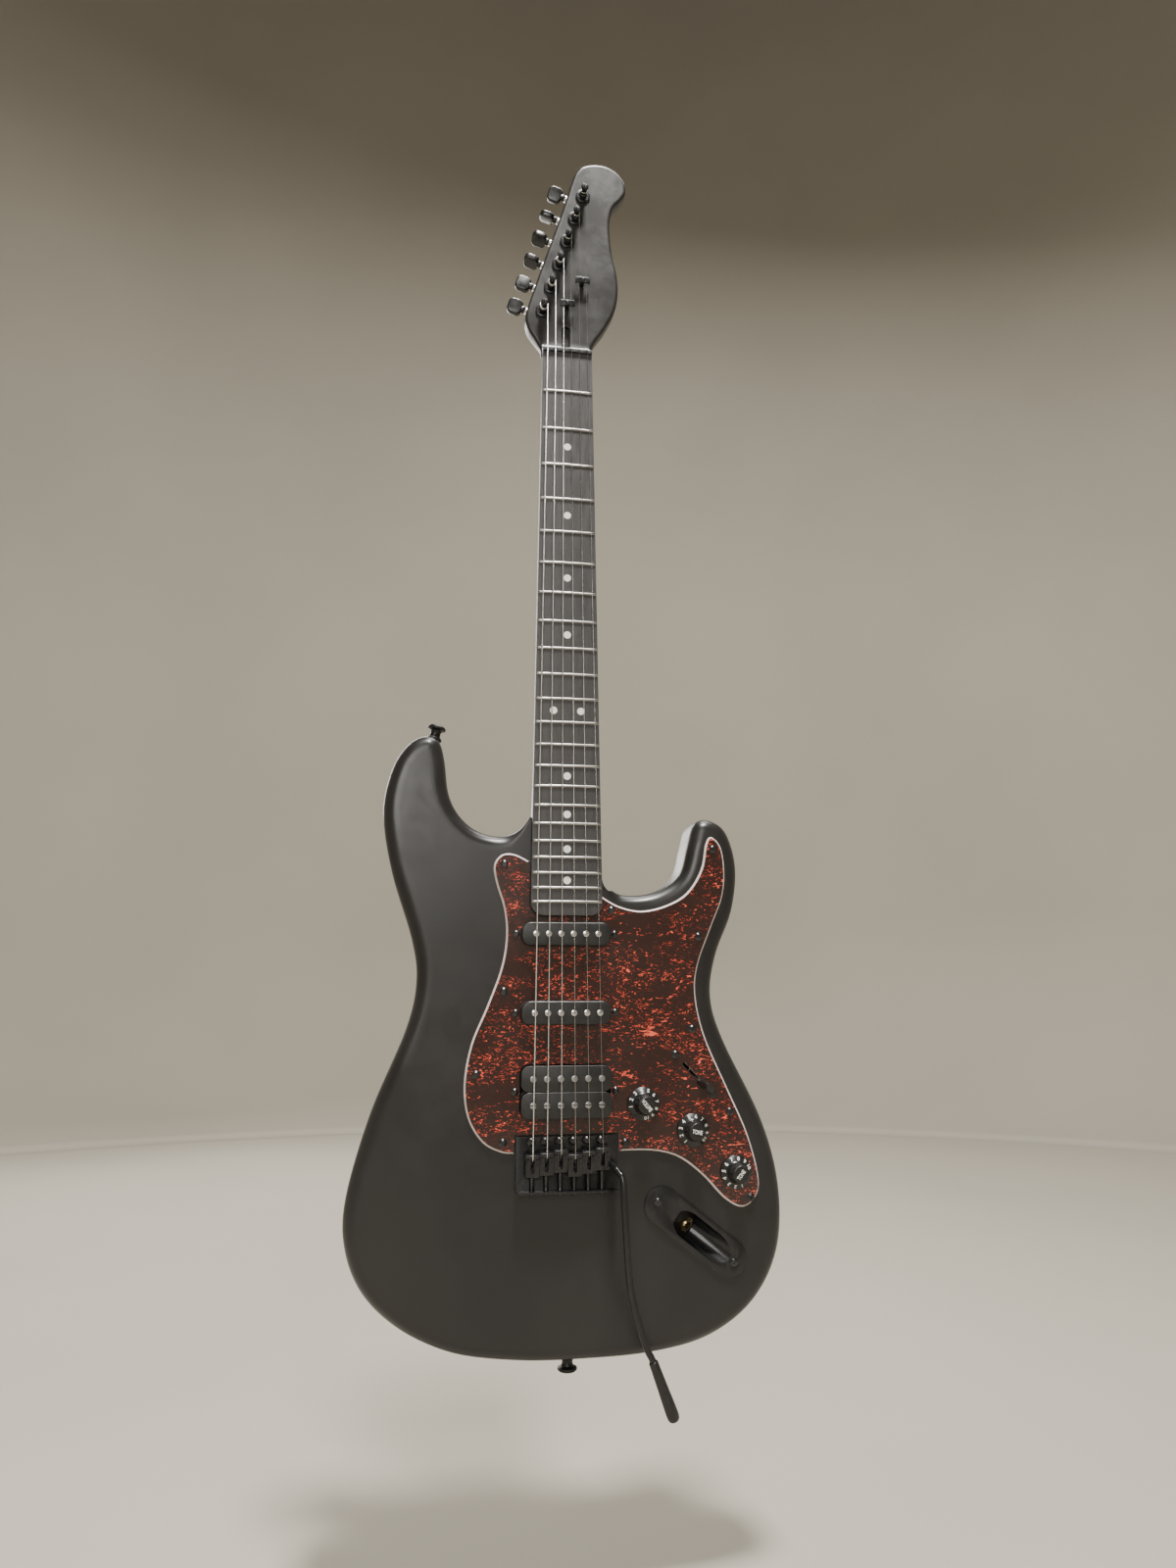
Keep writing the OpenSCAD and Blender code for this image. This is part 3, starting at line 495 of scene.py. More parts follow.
@dataclass(frozen=True)
class TortoiseShell:
    """Swirled tortoiseshell sheet: bright flecks on a dark ground under a clear top."""

    name: str = "tortoiseshell"

    def material(self) -> bpy.types.Material:
        """Builds the material.

        Returns:
            The material.
        """
        sheet = ShaderSheet(self.name)
        drift = sheet.stretched((1.0, 1.0, 2.4), (0.0, 0.22, 0.0))
        bank = sheet.noise(26.0, 2.0, drift)
        curl = sheet.noise(115.0, 2.0, drift, 0.5, 1.6)
        flake = sheet.noise(240.0, 3.0, drift, 0.62, 1.0)
        vein = curl.between(0.44, 0.495) * curl.between(0.56, 0.505)
        spot = flake.between(0.50, 0.66)
        heat = vein * spot.between(0.0, 0.7, 0.22, 1.0) * bank.between(0.30, 0.55, 0.45, 1.0)
        heat = heat * bank.between(0.36, 0.62, 0.28, 1.05)
        heat = heat + sheet.noise(105.0, 4.0, drift, 0.66, 1.2).between(0.60, 0.69)
        glow = sheet.ramp(heat, (
            (0.0, (0.024, 0.0085, 0.0065)), (0.18, (0.042, 0.010, 0.008)),
            (0.36, (0.20, 0.020, 0.014)), (0.60, (0.66, 0.060, 0.036)),
            (0.92, (0.93, 0.155, 0.085))))
        scuff = sheet.noise(22.0, 4.0)
        return sheet.finish(
            Base_Color=glow, Roughness=scuff.between(0.3, 0.7, 0.16, 0.26),
            Coat_Weight=0.5, Coat_Roughness=0.06,
            Normal=sheet.bump(sheet.noise(60.0, 2.0), 0.04, 0.0006))


@dataclass(frozen=True)
class BoardWood:
    """Dark close-grained fingerboard with pores along its length."""

    name: str = "dark_board"

    def material(self) -> bpy.types.Material:
        """Builds the material.

        Returns:
            The material.
        """
        sheet = ShaderSheet(self.name)
        grain = sheet.noise(60.0, 6.0, sheet.stretched((9.0, 9.0, 0.55)), 0.62)
        pores = sheet.noise(420.0, 2.0, sheet.stretched((4.2, 4.2, 0.30)))
        tone = sheet.ramp(grain, ((0.30, (0.026, 0.025, 0.026)), (0.52, (0.035, 0.0335, 0.034)),
                                  (0.72, (0.047, 0.045, 0.044))))
        open_pore = pores.between(0.60, 0.70)
        return sheet.finish(
            Base_Color=sheet.blend(open_pore, tone, (0.012, 0.011, 0.011)),
            Roughness=grain.between(0.3, 0.7, 0.44, 0.58),
            Normal=sheet.bump(1.0 - open_pore * 0.8 + grain * 0.2, 0.35, 0.00015))


class Grain(Enum):
    """How a metal's surface was worked."""

    POLISHED = (1.0, 1.0, 1.0)
    BRUSHED = (1.0, 1.0, 14.0)
    DRAWN = (6.0, 6.0, 0.2)


@dataclass(frozen=True)
class Metal:
    """Bare, plated or blackened metal."""

    name: str
    colour: tuple[float, float, float]
    roughness: float
    grain: Grain = Grain.POLISHED
    metallic: float = 1.0
    coat: float = 0.0

    def material(self) -> bpy.types.Material:
        """Builds the material.

        Returns:
            The material.
        """
        sheet = ShaderSheet(self.name)
        lines = sheet.noise(700.0, 3.0, sheet.stretched(self.grain.value), 0.6)
        tarnish = sheet.noise(120.0, 4.0)
        tone = sheet.blend(tarnish.between(0.35, 0.75), self.colour,
                           [0.72 * c for c in self.colour])
        rough = (lines * 0.16 + tarnish * 0.10 + (self.roughness - 0.13))
        return sheet.finish(Base_Color=tone, Metallic=self.metallic, Roughness=rough,
                            Coat_Weight=self.coat, Coat_Roughness=0.12,
                            Normal=sheet.bump(lines, 0.10, 0.00006))


@dataclass(frozen=True)
class Moulding:
    """Moulded plastic, plain or lightly textured."""

    name: str
    colour: tuple[float, float, float]
    roughness: float = 0.34
    texture: float = 0.12

    def material(self) -> bpy.types.Material:
        """Builds the material.

        Returns:
            The material.
        """
        sheet = ShaderSheet(self.name)
        skin = sheet.noise(2600.0, 2.0)
        rub = sheet.noise(140.0, 4.0, rough=0.6)
        tone = sheet.blend(rub.between(0.4, 0.8), self.colour,
                           [min(1.0, 1.25 * c + 0.0015) for c in self.colour])
        return sheet.finish(
            Base_Color=tone, Normal=sheet.bump(skin, self.texture, 0.00008),
            Roughness=rub.between(0.3, 0.75, self.roughness - 0.05, self.roughness + 0.08))


class Lay(Enum):
    """Which way the turns of a winding follow each other."""

    ALONG_NECK = "Z"
    THROUGH_BODY = "Y"


@dataclass(frozen=True)
class Wound:
    """Wire laid turn on turn, on a string or a coil, with painted shade in the grooves between the turns.
    """

    name: str
    colour: tuple[float, float, float]
    pitch_mm: float
    roughness: float = 0.30
    lay: Lay = Lay.ALONG_NECK

    def material(self) -> bpy.types.Material:
        """Builds the material.

        Returns:
            The material.
        """
        sheet = ShaderSheet(self.name)
        turns = (sheet.axis(self.lay.value) * (2000 * math.pi / self.pitch_mm)).sine()
        # Painted shade: the colour darkens to about a third in the grooves between the turns.
        painted_groove_shade = turns.between(-1.0, 0.2)
        tone = sheet.blend(painted_groove_shade, [0.35 * c for c in self.colour], self.colour)
        return sheet.finish(Base_Color=tone, Metallic=1.0,
                            Roughness=self.roughness, Normal=sheet.bump(turns, 0.5, 0.00005))


@dataclass(frozen=True)
class Pearl:
    """Inlay plastic with a faint cloud in it."""

    name: str = "pearl_dot"

    def material(self) -> bpy.types.Material:
        """Builds the material.

        Returns:
            The material.
        """
        sheet = ShaderSheet(self.name)
        cloud = sheet.noise(380.0, 4.0, distortion=1.5)
        tone = sheet.ramp(cloud, ((0.35, (0.80, 0.80, 0.77)), (0.65, (0.95, 0.95, 0.92))))
        return sheet.finish(Base_Color=tone, Roughness=cloud.between(0.3, 0.7, 0.2, 0.3))


@dataclass(frozen=True)
class StudioPaint:
    """Matt pale paint of the studio floor and its cove."""

    name: str = "studio_paint"

    def material(self) -> bpy.types.Material:
        """Builds the material.

        Returns:
            The material.
        """
        sheet = ShaderSheet(self.name)
        tone = sheet.ramp(sheet.noise(1.3, 3.0), ((0.3, (0.40, 0.375, 0.32)),
                                                 (0.7, (0.44, 0.41, 0.35))))
        return sheet.finish(Base_Color=tone, Roughness=0.85)


class Finish(Enum):
    """Every finish of the guitar, made once when first used."""

    BODY = SatinCoat("satin_body", (0.0115, 0.011, 0.0112), 0.35)
    NECK = SatinCoat("satin_neck", (0.016, 0.0155, 0.0155), 0.34)
    BOARD = BoardWood()
    SHELL = TortoiseShell()
    PLY_WHITE = Moulding("ply_white", (0.70, 0.60, 0.585), 0.30, 0.03)
    FRET = Metal("fret_nickel", (0.42, 0.41, 0.39), 0.30, Grain.DRAWN)
    DOT = Pearl()
    COVER = Moulding("moulded_cover", (0.012, 0.012, 0.0122), 0.36, 0.2)
    KNOB = Moulding("moulded_knob", (0.010, 0.010, 0.0105), 0.30)
    PRINT = Moulding("white_print", (0.80, 0.79, 0.76), 0.45, 0.02)
    NUT = Moulding("graphite_nut", (0.017, 0.017, 0.018), 0.42)
    HARDWARE = Metal("black_hardware", (0.020, 0.020, 0.022), 0.30, metallic=0.55, coat=0.35)
    CAST = Metal("cast_black", (0.016, 0.016, 0.017), 0.40, metallic=0.4)
    SCREW = Metal("blackened_screw", (0.085, 0.085, 0.09), 0.32)
    STEEL = Metal("bare_steel", (0.62, 0.62, 0.63), 0.26, Grain.BRUSHED)
    POLE = Metal("pole_steel", (0.78, 0.78, 0.79), 0.22)
    SLUG = Metal("dull_slug", (0.36, 0.365, 0.37), 0.36)
    CHROME = Metal("chrome_collar", (0.70, 0.70, 0.71), 0.17)
    BRASS = Metal("socket_brass", (0.80, 0.70, 0.46), 0.24)
    PLAIN_STRING = Metal("plain_string", (0.74, 0.73, 0.70), 0.24, Grain.DRAWN)
    WOUND_STRING = Wound("wound_string", (0.80, 0.79, 0.75), 0.36)
    COIL = Wound("enamelled_coil", (0.34, 0.12, 0.05), 0.30, 0.4, Lay.THROUGH_BODY)
    SPRING = Metal("spring_steel", (0.55, 0.55, 0.56), 0.30)
    FIBRE = Moulding("grey_fibre", (0.035, 0.035, 0.037), 0.6, 0.5)
    CAPACITOR = Moulding("capacitor_dip", (0.42, 0.13, 0.035), 0.22)

    def material(self) -> bpy.types.Material:
        """The finish's material."""
        made = bpy.data.materials.get(self.value.name)
        return made or self.value.material()


# ---- Mesh workshop ----


@dataclass
class Shape:
    """Points and faces of a piece that is being made, in millimetres."""

    points: list[Point3] = field(default_factory=list)
    faces: list[tuple[int, ...]] = field(default_factory=list)
    slots: list[int] = field(default_factory=list)

    def add(self, points: Iterable, faces: Iterable, slot: int = 0) -> "Shape":
        """Adds points and faces.

        Args:
            points: The points.
            faces: Faces that count from the first of them.
            slot: Material number of the faces.

        Returns:
            This shape.
        """
        start = len(self.points)
        self.points.extend(tuple(map(float, p)) for p in points)
        for f in faces:
            self.faces.append(tuple(start + i for i in f))
            self.slots.append(slot)
        return self

    def rings(self, rings: Sequence[np.ndarray]) -> "Shape":
        """Skin over closed rings of equal length, with the first and last filled.

        Args:
            rings: The rings in order, counter-clockwise about the way they advance.

        Returns:
            This shape.
        """
        m, k = len(rings[0]), len(rings)
        start = len(self.points)
        for ring in rings:
            self.points.extend(tuple(map(float, p)) for p in ring)
        for i in range(k - 1):
            a, b = start + i * m, start + (i + 1) * m
            for j in range(m):
                n = (j + 1) % m
                self.faces.append((a + j, a + n, b + n, b + j))
        self.faces.append(tuple(start + j for j in reversed(range(m))))
        self.faces.append(tuple(start + (k - 1) * m + j for j in range(m)))
        self.slots += [0] * ((k - 1) * m + 2)
        return self

    def lathe(self, profile: Sequence[Point2], steps: int = 48,
              ripple: Callable[[float, float], float] | None = None) -> "Shape":
        """Turned shape about z.

        Args:
            profile: (radius, height) points from the lowest up.
            steps: Points round it.
            ripple: Change of radius from (angle, height), or None.

        Returns:
            This shape.
        """
        angles = np.arange(steps) * 2 * math.pi / steps
        rings = []
        for r, z in profile:
            radii = [max(0.01, r + (ripple(a, z) if ripple else 0)) for a in angles]
            rings.append(np.stack([radii * np.cos(angles), radii * np.sin(angles),
                                   np.full(steps, z)], 1))
        return self.rings(rings)

    def slab(self, ring: np.ndarray, low: float, high: float, edge: float = 0.0,
             steps: int = 3, under: float = 0.0) -> "Shape":
        """Plate of an outline with its upper edge, and if asked its lower, rounded.

        Args:
            ring: The outline.
            low: Height of its underside.
            high: Height of its top.
            edge: Radius of the upper edge.
            steps: Steps round an edge.
            under: Radius of the lower edge.

        Returns:
            This shape.
        """
        normal = inward(ring)
        level = []
        for k in range(steps + 1 if under else 0):
            a = math.pi / 2 * k / steps
            level.append((under * (1 - math.sin(a)), low + under * (1 - math.cos(a))))
        level = level or [(0.0, low)]
        for k in range(steps + 1 if edge else 1):
            a = math.pi / 2 * k / steps
            level.append((edge * (1 - math.cos(a)), high - edge * (1 - math.sin(a))))
        if not edge:
            level[-1] = (0.0, high)
        if inward_turning(ring) < 0:
            ring, normal = ring[::-1], normal[::-1]
        rings = [np.hstack([ring + d * normal, np.full((len(ring), 1), z)]) for d, z in level]
        return self.rings(rings)

    def tube(self, path: np.ndarray, radius: float | Sequence[float], sides: int = 12) -> "Shape":
        """Round tube along a path.

        Args:
            path: Points of its centre line.
            radius: Its radius, fixed or one for each point.
            sides: Points round it.

        Returns:
            This shape.
        """
        p = np.asarray(path, float)
        t = np.gradient(p, axis=0)
        t /= np.linalg.norm(t, axis=1)[:, None]
        radii = np.full(len(p), radius) if np.isscalar(radius) else np.asarray(radius)
        v = np.array([1.0, 0.2, 0.1])
        rings = []
        angles = np.arange(sides) * 2 * math.pi / sides
        for at, along, r in zip(p, t, radii):
            v = v - (v @ along) * along
            v /= np.linalg.norm(v)
            w = np.cross(along, v)
            rings.append(at + r * (np.outer(np.cos(angles), v) + np.outer(np.sin(angles), w)))
        return self.rings(rings)

    def placed(self, matrix: Matrix) -> "Shape":
        """A copy moved by a matrix.

        Args:
            matrix: The move, in millimetres.

        Returns:
            The copy.
        """
        m = np.array(matrix)
        p = np.asarray(self.points) @ m[:3, :3].T + m[:3, 3]
        return Shape([tuple(q) for q in p], list(self.faces), list(self.slots))

    def join(self, other: "Shape") -> "Shape":
        """Adds another shape to this one.

        Args:
            other: The shape added.

        Returns:
            This shape.
        """
        start = len(self.points)
        self.points.extend(other.points)
        self.faces.extend(tuple(start + i for i in f) for f in other.faces)
        self.slots.extend(other.slots)
        return self

    def mesh(self, name: str) -> bpy.types.Mesh:
        """The shape as a Blender mesh in the hanging frame.

        Args:
            name: Name of the mesh.

        Returns:
            The mesh.
        """
        made = bpy.data.meshes.new(name)
        made.from_pydata([tuple(p) for p in upright(self.points)], [], self.faces)
        made.polygons.foreach_set("material_index", self.slots)
        made.update()
        return made


def linked(name: str, data: bpy.types.ID) -> bpy.types.Object:
    """Makes an object of a mesh, lamp, camera or lettering and puts it in the scene.

    Args:
        name: Its name.
        data: What it shows.

    Returns:
        The object.
    """
    obj = bpy.data.objects.new(name, data)
    bpy.context.scene.collection.objects.link(obj)
    return obj


def inward_turning(ring: np.ndarray) -> float:
    """Signed area of an outline: positive when it runs counter-clockwise."""
    x, y = ring[:, 0], ring[:, 1]
    return float(np.sum(x * np.roll(y, -1) - y * np.roll(x, -1))) / 2


def shade(mesh: bpy.types.Mesh, angle: float = 35.0, weld: float = 1e-6) -> None:
    """Welds a mesh, points its faces outwards and smooths all but its sharp edges.

    Args:
        mesh: The mesh.
        angle: Edges sharper than this stay sharp.
        weld: Points closer than this, in metres, become one.
    """
    bm = bmesh.new()
    bm.from_mesh(mesh)
    bmesh.ops.remove_doubles(bm, verts=bm.verts, dist=weld)
    bmesh.ops.dissolve_degenerate(bm, edges=bm.edges, dist=weld / 2)
    bmesh.ops.recalc_face_normals(bm, faces=bm.faces)
    limit = math.radians(angle)
    for edge in bm.edges:
        edge.smooth = len(edge.link_faces) == 2 and edge.calc_face_angle(0.0) < limit
    for face in bm.faces:
        face.smooth = True
    bm.to_mesh(mesh)
    bm.free()


def settled(obj: bpy.types.Object) -> None:
    """Applies an object's modifiers to its mesh.

    Args:
        obj: The object.
    """
    bpy.context.view_layer.update()
    graph = bpy.context.evaluated_depsgraph_get()
    fresh = bpy.data.meshes.new_from_object(obj.evaluated_get(graph))
    obj.modifiers.clear()
    obj.data = fresh


@dataclass
class Workshop:
    """Places pieces on the guitar's bodies."""

    made: list[str] = field(default_factory=list)

    def _dressed(self, name: str, shape: "Shape | bpy.types.Mesh", finishes: Sequence[Finish],
                 angle: float) -> bpy.types.Object:
        """Makes the object of a piece, in its finishes.

        Args:
            name: The piece's name.
            shape: Its shape, or its mesh where that is made already.
            finishes: One finish for each material number.
            angle: Edges sharper than this stay sharp.

        Returns:
            The object.
        """
        mesh = shape.mesh(name) if isinstance(shape, Shape) else shape
        obj = linked(name, mesh)
        for finish in finishes:
            mesh.materials.append(finish.material())
        shade(mesh, angle)
        self.made.append(name)
        return obj

    def piece(self, name: str, shape: "Shape | bpy.types.Mesh", finishes: Sequence[Finish],
              body: str, nodes: Sequence[str] = (),
              angle: float = 35.0) -> bpy.types.Object:
        """Puts a piece on the guitar.

        Args:
            name: The piece's name.
            shape: Its shape, or its mesh where that is made already.
            finishes: One finish for each material number.
            body: The moving body it rides on.
            nodes: The CAD nodes it stands for.
            angle: Edges sharper than this stay sharp.

        Returns:
            The placed object.
        """
        obj = self._dressed(name, shape, finishes, angle)
        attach(obj, body)
        if nodes:
            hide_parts(*nodes)
        LOG.info("%s: %d faces on %s", name, len(obj.data.polygons), body)
        return obj

    def softened(self, node: str, finish: Finish, width: float, segments: int = 2,
                 angle: float = 40.0) -> bpy.types.Object:
        """Stands in for a CAD node with its edges broken, as moulding and tumbling leave them.

        Args:
            node: The CAD node.
            finish: Its finish.
            width: Width of the broken edge in millimetres.
            segments: Steps across it.
            angle: Edges sharper than this are broken.

        Returns:
            The new piece.
        """
        source = frame["nodes"][node]
        mesh = source.data.copy()
        mesh.name = node + "_soft"
        mesh.materials.clear()
        bm = bmesh.new()
        bm.from_mesh(mesh)
        bmesh.ops.remove_doubles(bm, verts=bm.verts, dist=2e-6)
        bmesh.ops.dissolve_limit(bm, angle_limit=math.radians(1.0), verts=bm.verts,
                                 edges=bm.edges)
        sharp = [e for e in bm.edges if len(e.link_faces) == 2
                 and e.calc_face_angle(0.0) > math.radians(angle)]
        bmesh.ops.bevel(bm, geom=sharp, offset=width / 1000, segments=segments, profile=0.5,
                        affect="EDGES", clamp_overlap=True)
        bm.to_mesh(mesh)
        bm.free()
        if mesh.attributes.get("custom_normal"):
            mesh.attributes.remove(mesh.attributes["custom_normal"])
        for poly in mesh.polygons:
            poly.material_index = 0
        return self.piece(node + "_piece", mesh, [finish], source["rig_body"], [node], 30.0)

    def bending(self, name: str, shape: Shape, finishes: Sequence[Finish], node: str) -> bpy.types.Object:
        """Puts on a piece that runs from the guitar to the tremolo, riding on neither body.

        Args:
            name: The piece's name.
            shape: Its shape.
            finishes: One finish for each material number.
            node: The CAD node it stands for.

        Returns:
            The placed object.
        """
        obj = self._dressed(name, shape, finishes, 60.0)
        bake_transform(obj)
        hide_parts(node)
        LOG.info("%s: %d faces, bends to %s", name, len(obj.data.polygons), TREMOLO)
        return obj

    def finish_node(self, node: str, finish: Finish) -> None:
        """Gives a CAD node that stays its finish.

        Args:
            node: The CAD node.
            finish: Its finish.
        """
        data = frame["nodes"][node].data
        data.materials.clear()
        data.materials.append(finish.material())
        LOG.info("%s: kept, %s", node, finish.value.name)


class Joinery(Enum):
    """What a second shape does to a piece."""

    CUT_OUT = "DIFFERENCE"
    GLUE_ON = "UNION"


def carve(obj: bpy.types.Object, cutter: Shape, joinery: Joinery = Joinery.CUT_OUT) -> None:
    """Cuts a shape out of an object, or joins it on.

    Args:
        obj: The object.
        cutter: The shape.
        joinery: Whether it is cut out or glued on.
    """
    tool = linked("cutter", cutter.mesh("cutter"))
    shade(tool.data)
    modifier = obj.modifiers.new("carve", "BOOLEAN")
    modifier.operation = joinery.value
    modifier.solver = "EXACT"
    modifier.use_self = True
    modifier.object = tool
    settled(obj)
    bpy.data.objects.remove(tool)


def box_ring(x0: float, y0: float, x1: float, y1: float) -> np.ndarray:
    """Rectangle as an outline."""
    return np.array([(x0, y0), (x1, y0), (x1, y1), (x0, y1)], float)


def circle_ring(x: float, y: float, r: float, steps: int = 40) -> np.ndarray:
    """Circle as an outline."""
    a = np.arange(steps) * 2 * math.pi / steps
    return np.stack([x + r * np.cos(a), y + r * np.sin(a)], 1)


def set_ring(ring: np.ndarray, x: float, y: float, degrees: float = 0.0) -> np.ndarray:
    """An outline turned about its centre and shifted.

    Args:
        ring: The outline.
        x: Where its centre goes across the neck.
        y: Where its centre goes along the neck.
        degrees: Turn, clockwise.

    Returns:
        The placed outline.
    """
    a = math.radians(degrees)
    turn = np.array([[math.cos(a), math.sin(a)], [-math.sin(a), math.cos(a)]])
    return ring @ turn + (x, y)


def past_line(points: np.ndarray, start: Point2, end: Point2, ease_in: float,
              reach: tuple[float, float]) -> np.ndarray:
    """How far points lie past a crease line, blended in softly.

    Args:
        points: Rows of x, y.
        start: One end of the crease.
        end: Its other end; the side counted is on the right as one looks from start to end.
        ease_in: Half width of the soft blend at the crease.
        reach: How far before the start and after the end the effect dies away.

    Returns:
        Millimetres past the crease.
    """
    a, b = np.array(start), np.array(end)
    along = (b - a) / np.linalg.norm(b - a)
    side = np.array([along[1], -along[0]])
    s = (points - a) @ side
    t = (points - a) @ along
    soft = np.where(s > ease_in, s, np.where(s < -ease_in, 0, (s + ease_in) ** 2 / (4 * ease_in)))
    window = ease(t / reach[0] + 0.5) * ease((np.linalg.norm(b - a) - t) / reach[1] + 0.5)
    return soft * window


def carved_plate(ring: np.ndarray, front: Callable, back: Callable, front_edge: Callable,
                 back_edge: Callable, spacing: float) -> Shape:
    """Plate with rounded edges and carved faces.

    Args:
        ring: Its outline.
        front: Height of the front face at points.
        back: Height of the back face at points.
        front_edge: Edge radius of the front at points.
        back_edge: Edge radius of the back at points.
        spacing: Distance between inner points.

    Returns:
        The closed shape.
    """
    if inward_turning(ring) < 0:
        ring = ring[::-1]
    normal = inward(ring)
    widest = np.maximum(front_edge(ring), back_edge(ring))
    rows = [ring]
    for degrees in (15, 30, 45, 60, 75, 90, 100):
        reach = 1 - math.cos(math.radians(min(degrees, 90))) + (0.35 if degrees > 90 else 0)
        row = ring + normal * (widest * reach)[:, None]
        keep = inside(row, ring) & (to_edge(row, ring) > 0.93 * widest * reach)
        rows.append(row[keep])
    low, high = ring.min(0), ring.max(0)
    grid = np.stack(np.meshgrid(np.arange(low[0], high[0], spacing),
                                np.arange(low[1], high[1], spacing)), -1).reshape(-1, 2)
    grid = grid[inside(grid, ring)]
    rows.append(grid[to_edge(grid, ring) > 1.35 * widest.max() + 0.4 * spacing])
    flat = [Vector(p) for p in np.vstack(rows)]
    verts, _, tris, *_ = delaunay_2d_cdt(flat, [], [list(range(len(ring)))], 1, 1e-5)
    p = np.array([tuple(v) for v in verts])
    depth = to_edge(p, ring)
    depth[depth < 1e-4] = 0

    def drop(radius: np.ndarray) -> np.ndarray:
        """Fall of a rounded edge below its face."""
        d = np.clip(depth, 0, radius)
        return radius - np.sqrt(np.maximum(radius ** 2 - (radius - d) ** 2, 0))

    top = front(p) - drop(front_edge(p))
    under = back(p) + drop(back_edge(p))
    n = len(p)
    faces, edges = [], {}
    for tri in tris:
        a, b, c = tri[:3]
        area = np.cross(p[b] - p[a], p[c] - p[a])
        tri = (a, b, c) if area > 0 else (a, c, b)
        faces += [tri, tuple(n + i for i in reversed(tri))]
        for i, j in zip(tri, tri[1:] + tri[:1]):
            edges[(i, j)] = edges.get((i, j), 0) + 1
    for i, j in list(edges):
        if (j, i) not in edges:
            faces.append((j, i, n + i, n + j))
    points = np.vstack([np.column_stack([p, top]), np.column_stack([p, under])])
    return Shape().add(points, faces)


# ---- Body ----


@dataclass
class SolidBody:
    """Double-cutaway body with its contours, pocket, routs and cavities."""

    edge: float = 10.0
    pocket_edge: float = 1.6
    forearm_slope: float = 0.19
    belly_slope: float = 0.23
    pocket_depth: float = 16.0
    pot_rout: float = 15.0
    # Length and width of each pickup's rout
    pickup_routs: tuple[Point2, ...] = ((88, 26), (88, 26), (90, 46))
    outline_points: tuple[Point2, ...] = (
        (-28, -399), (-37, -410), (-52, -414), (-70, -409.5), (-84, -397), (-92, -380),
        (-95.5, -355), (-100, -339.5), (-110, -335), (-124, -342), (-136, -362),
        (-142, -397), (-134, -443), (-117.5, -494), (-113, -526), (-120, -562),
        (-144.5, -623), (-160.5, -683), (-160, -719), (-146, -750), (-118, -774),
        (-80, -789.5), (-35, -796.5), (10, -798), (65, -796), (110, -786.5),
        (145, -763), (165, -727), (167.5, -680), (155, -631), (126, -571), (117, -538),
        (122, -506), (136, -471), (140.5, -436), (133, -407.5), (118.5, -397.5),
        (106, -401), (100.5, -418), (93, -442), (75, -455.5), (53, -459.5), (37, -455),
        (31, -441), (29, -402))

    def edge_radius(self, p: np.ndarray) -> np.ndarray:
        """Edge radius, full everywhere but beside the neck."""
        away = np.hypot(np.maximum(abs(p[:, 0]) - 30, 0), np.maximum(-452 - p[:, 1], 0))
        return self.pocket_edge + (self.edge - self.pocket_edge) * ease(away / 18)

    def front(self, p: np.ndarray) -> np.ndarray:
        """Front face, sloped away under the player's forearm."""
        return -self.forearm_slope * past_line(p, (-118, -590), (-78, -806), 9.0, (70, 60))

    def back(self, p: np.ndarray) -> np.ndarray:
        """Back face, hollowed against the player's ribs."""
        return -BODY_THICK + self.belly_slope * past_line(
            p, (-44, -440), (-78, -640), 10.0, (70, 70))

    def routs(self) -> Shape:
        """Everything that is cut out of the body.

        Returns:
            The cutters as one shape.
        """
        cut = Shape()
        end = HEEL_END - 0.1
        half = neck_width(HEEL_END) / 2 + 0.1
        mouth = neck_width(-390) / 2 + 0.1
        cut.slab(np.array([(-half, end), (half, end), (mouth, -380), (-mouth, -380)]),
                 -self.pocket_depth, 2)
        cut.slab(box_ring(20, -456.5, 40, -392), -self.pocket_depth, 2.2)
        for y, (length, width) in zip(PICKUP_Y, self.pickup_routs):
            cut.slab(set_ring(pad_outline(length, width, 6), 0, y), -19, 2.4)
        for x, y in POT_CENTRES:
            cut.slab(circle_ring(x, y, self.pot_rout), -38, 2.6)
        cut.slab(set_ring(pad_outline(46, 22, 1), 79, -628, -27), -37.9, 2.7)
        cut.slab(set_ring(pad_outline(46, 22, 1), 115, -654, -44), -37.8, 2.8)
        cut.slab(set_ring(pad_outline(52, 22, 5), *SWITCH_CENTRE, SWITCH_LEAN), -37.7, 2.9)
        cut.slab(box_ring(90, -637, 110, -607), -37.6, 3.0)
        cut.slab(set_ring(pad_outline(70, 25, 10), 99, -711.6, -37.8), -34, 3.1)
        x = TREM_X
        cut.slab(box_ring(x - 37.8, -677, x + 37.8, -648), -48, 3.2)
        cut.slab(box_ring(x - 40.1, -687, x + 40.1, -648.1), -49, -16)
        cut.slab(box_ring(x - 31, -687.1, x + 31, -560), -50, -28)
        return cut

    def build(self, shop: Workshop) -> None:
        """Makes the body.

        Args:
            shop: Where it is put together.
        """
        ring = even(smooth_curve(self.outline_points, 6), 2.6)
        shape = carved_plate(ring, self.front, self.back, self.edge_radius,
                             self.edge_radius, 8.0)
        body = shop.piece("body_shell", shape, [Finish.BODY], GUITAR, ["body"], 50.0)
        carve(body, self.routs())
        shade(body.data, 38.0)


# ---- Neck ----


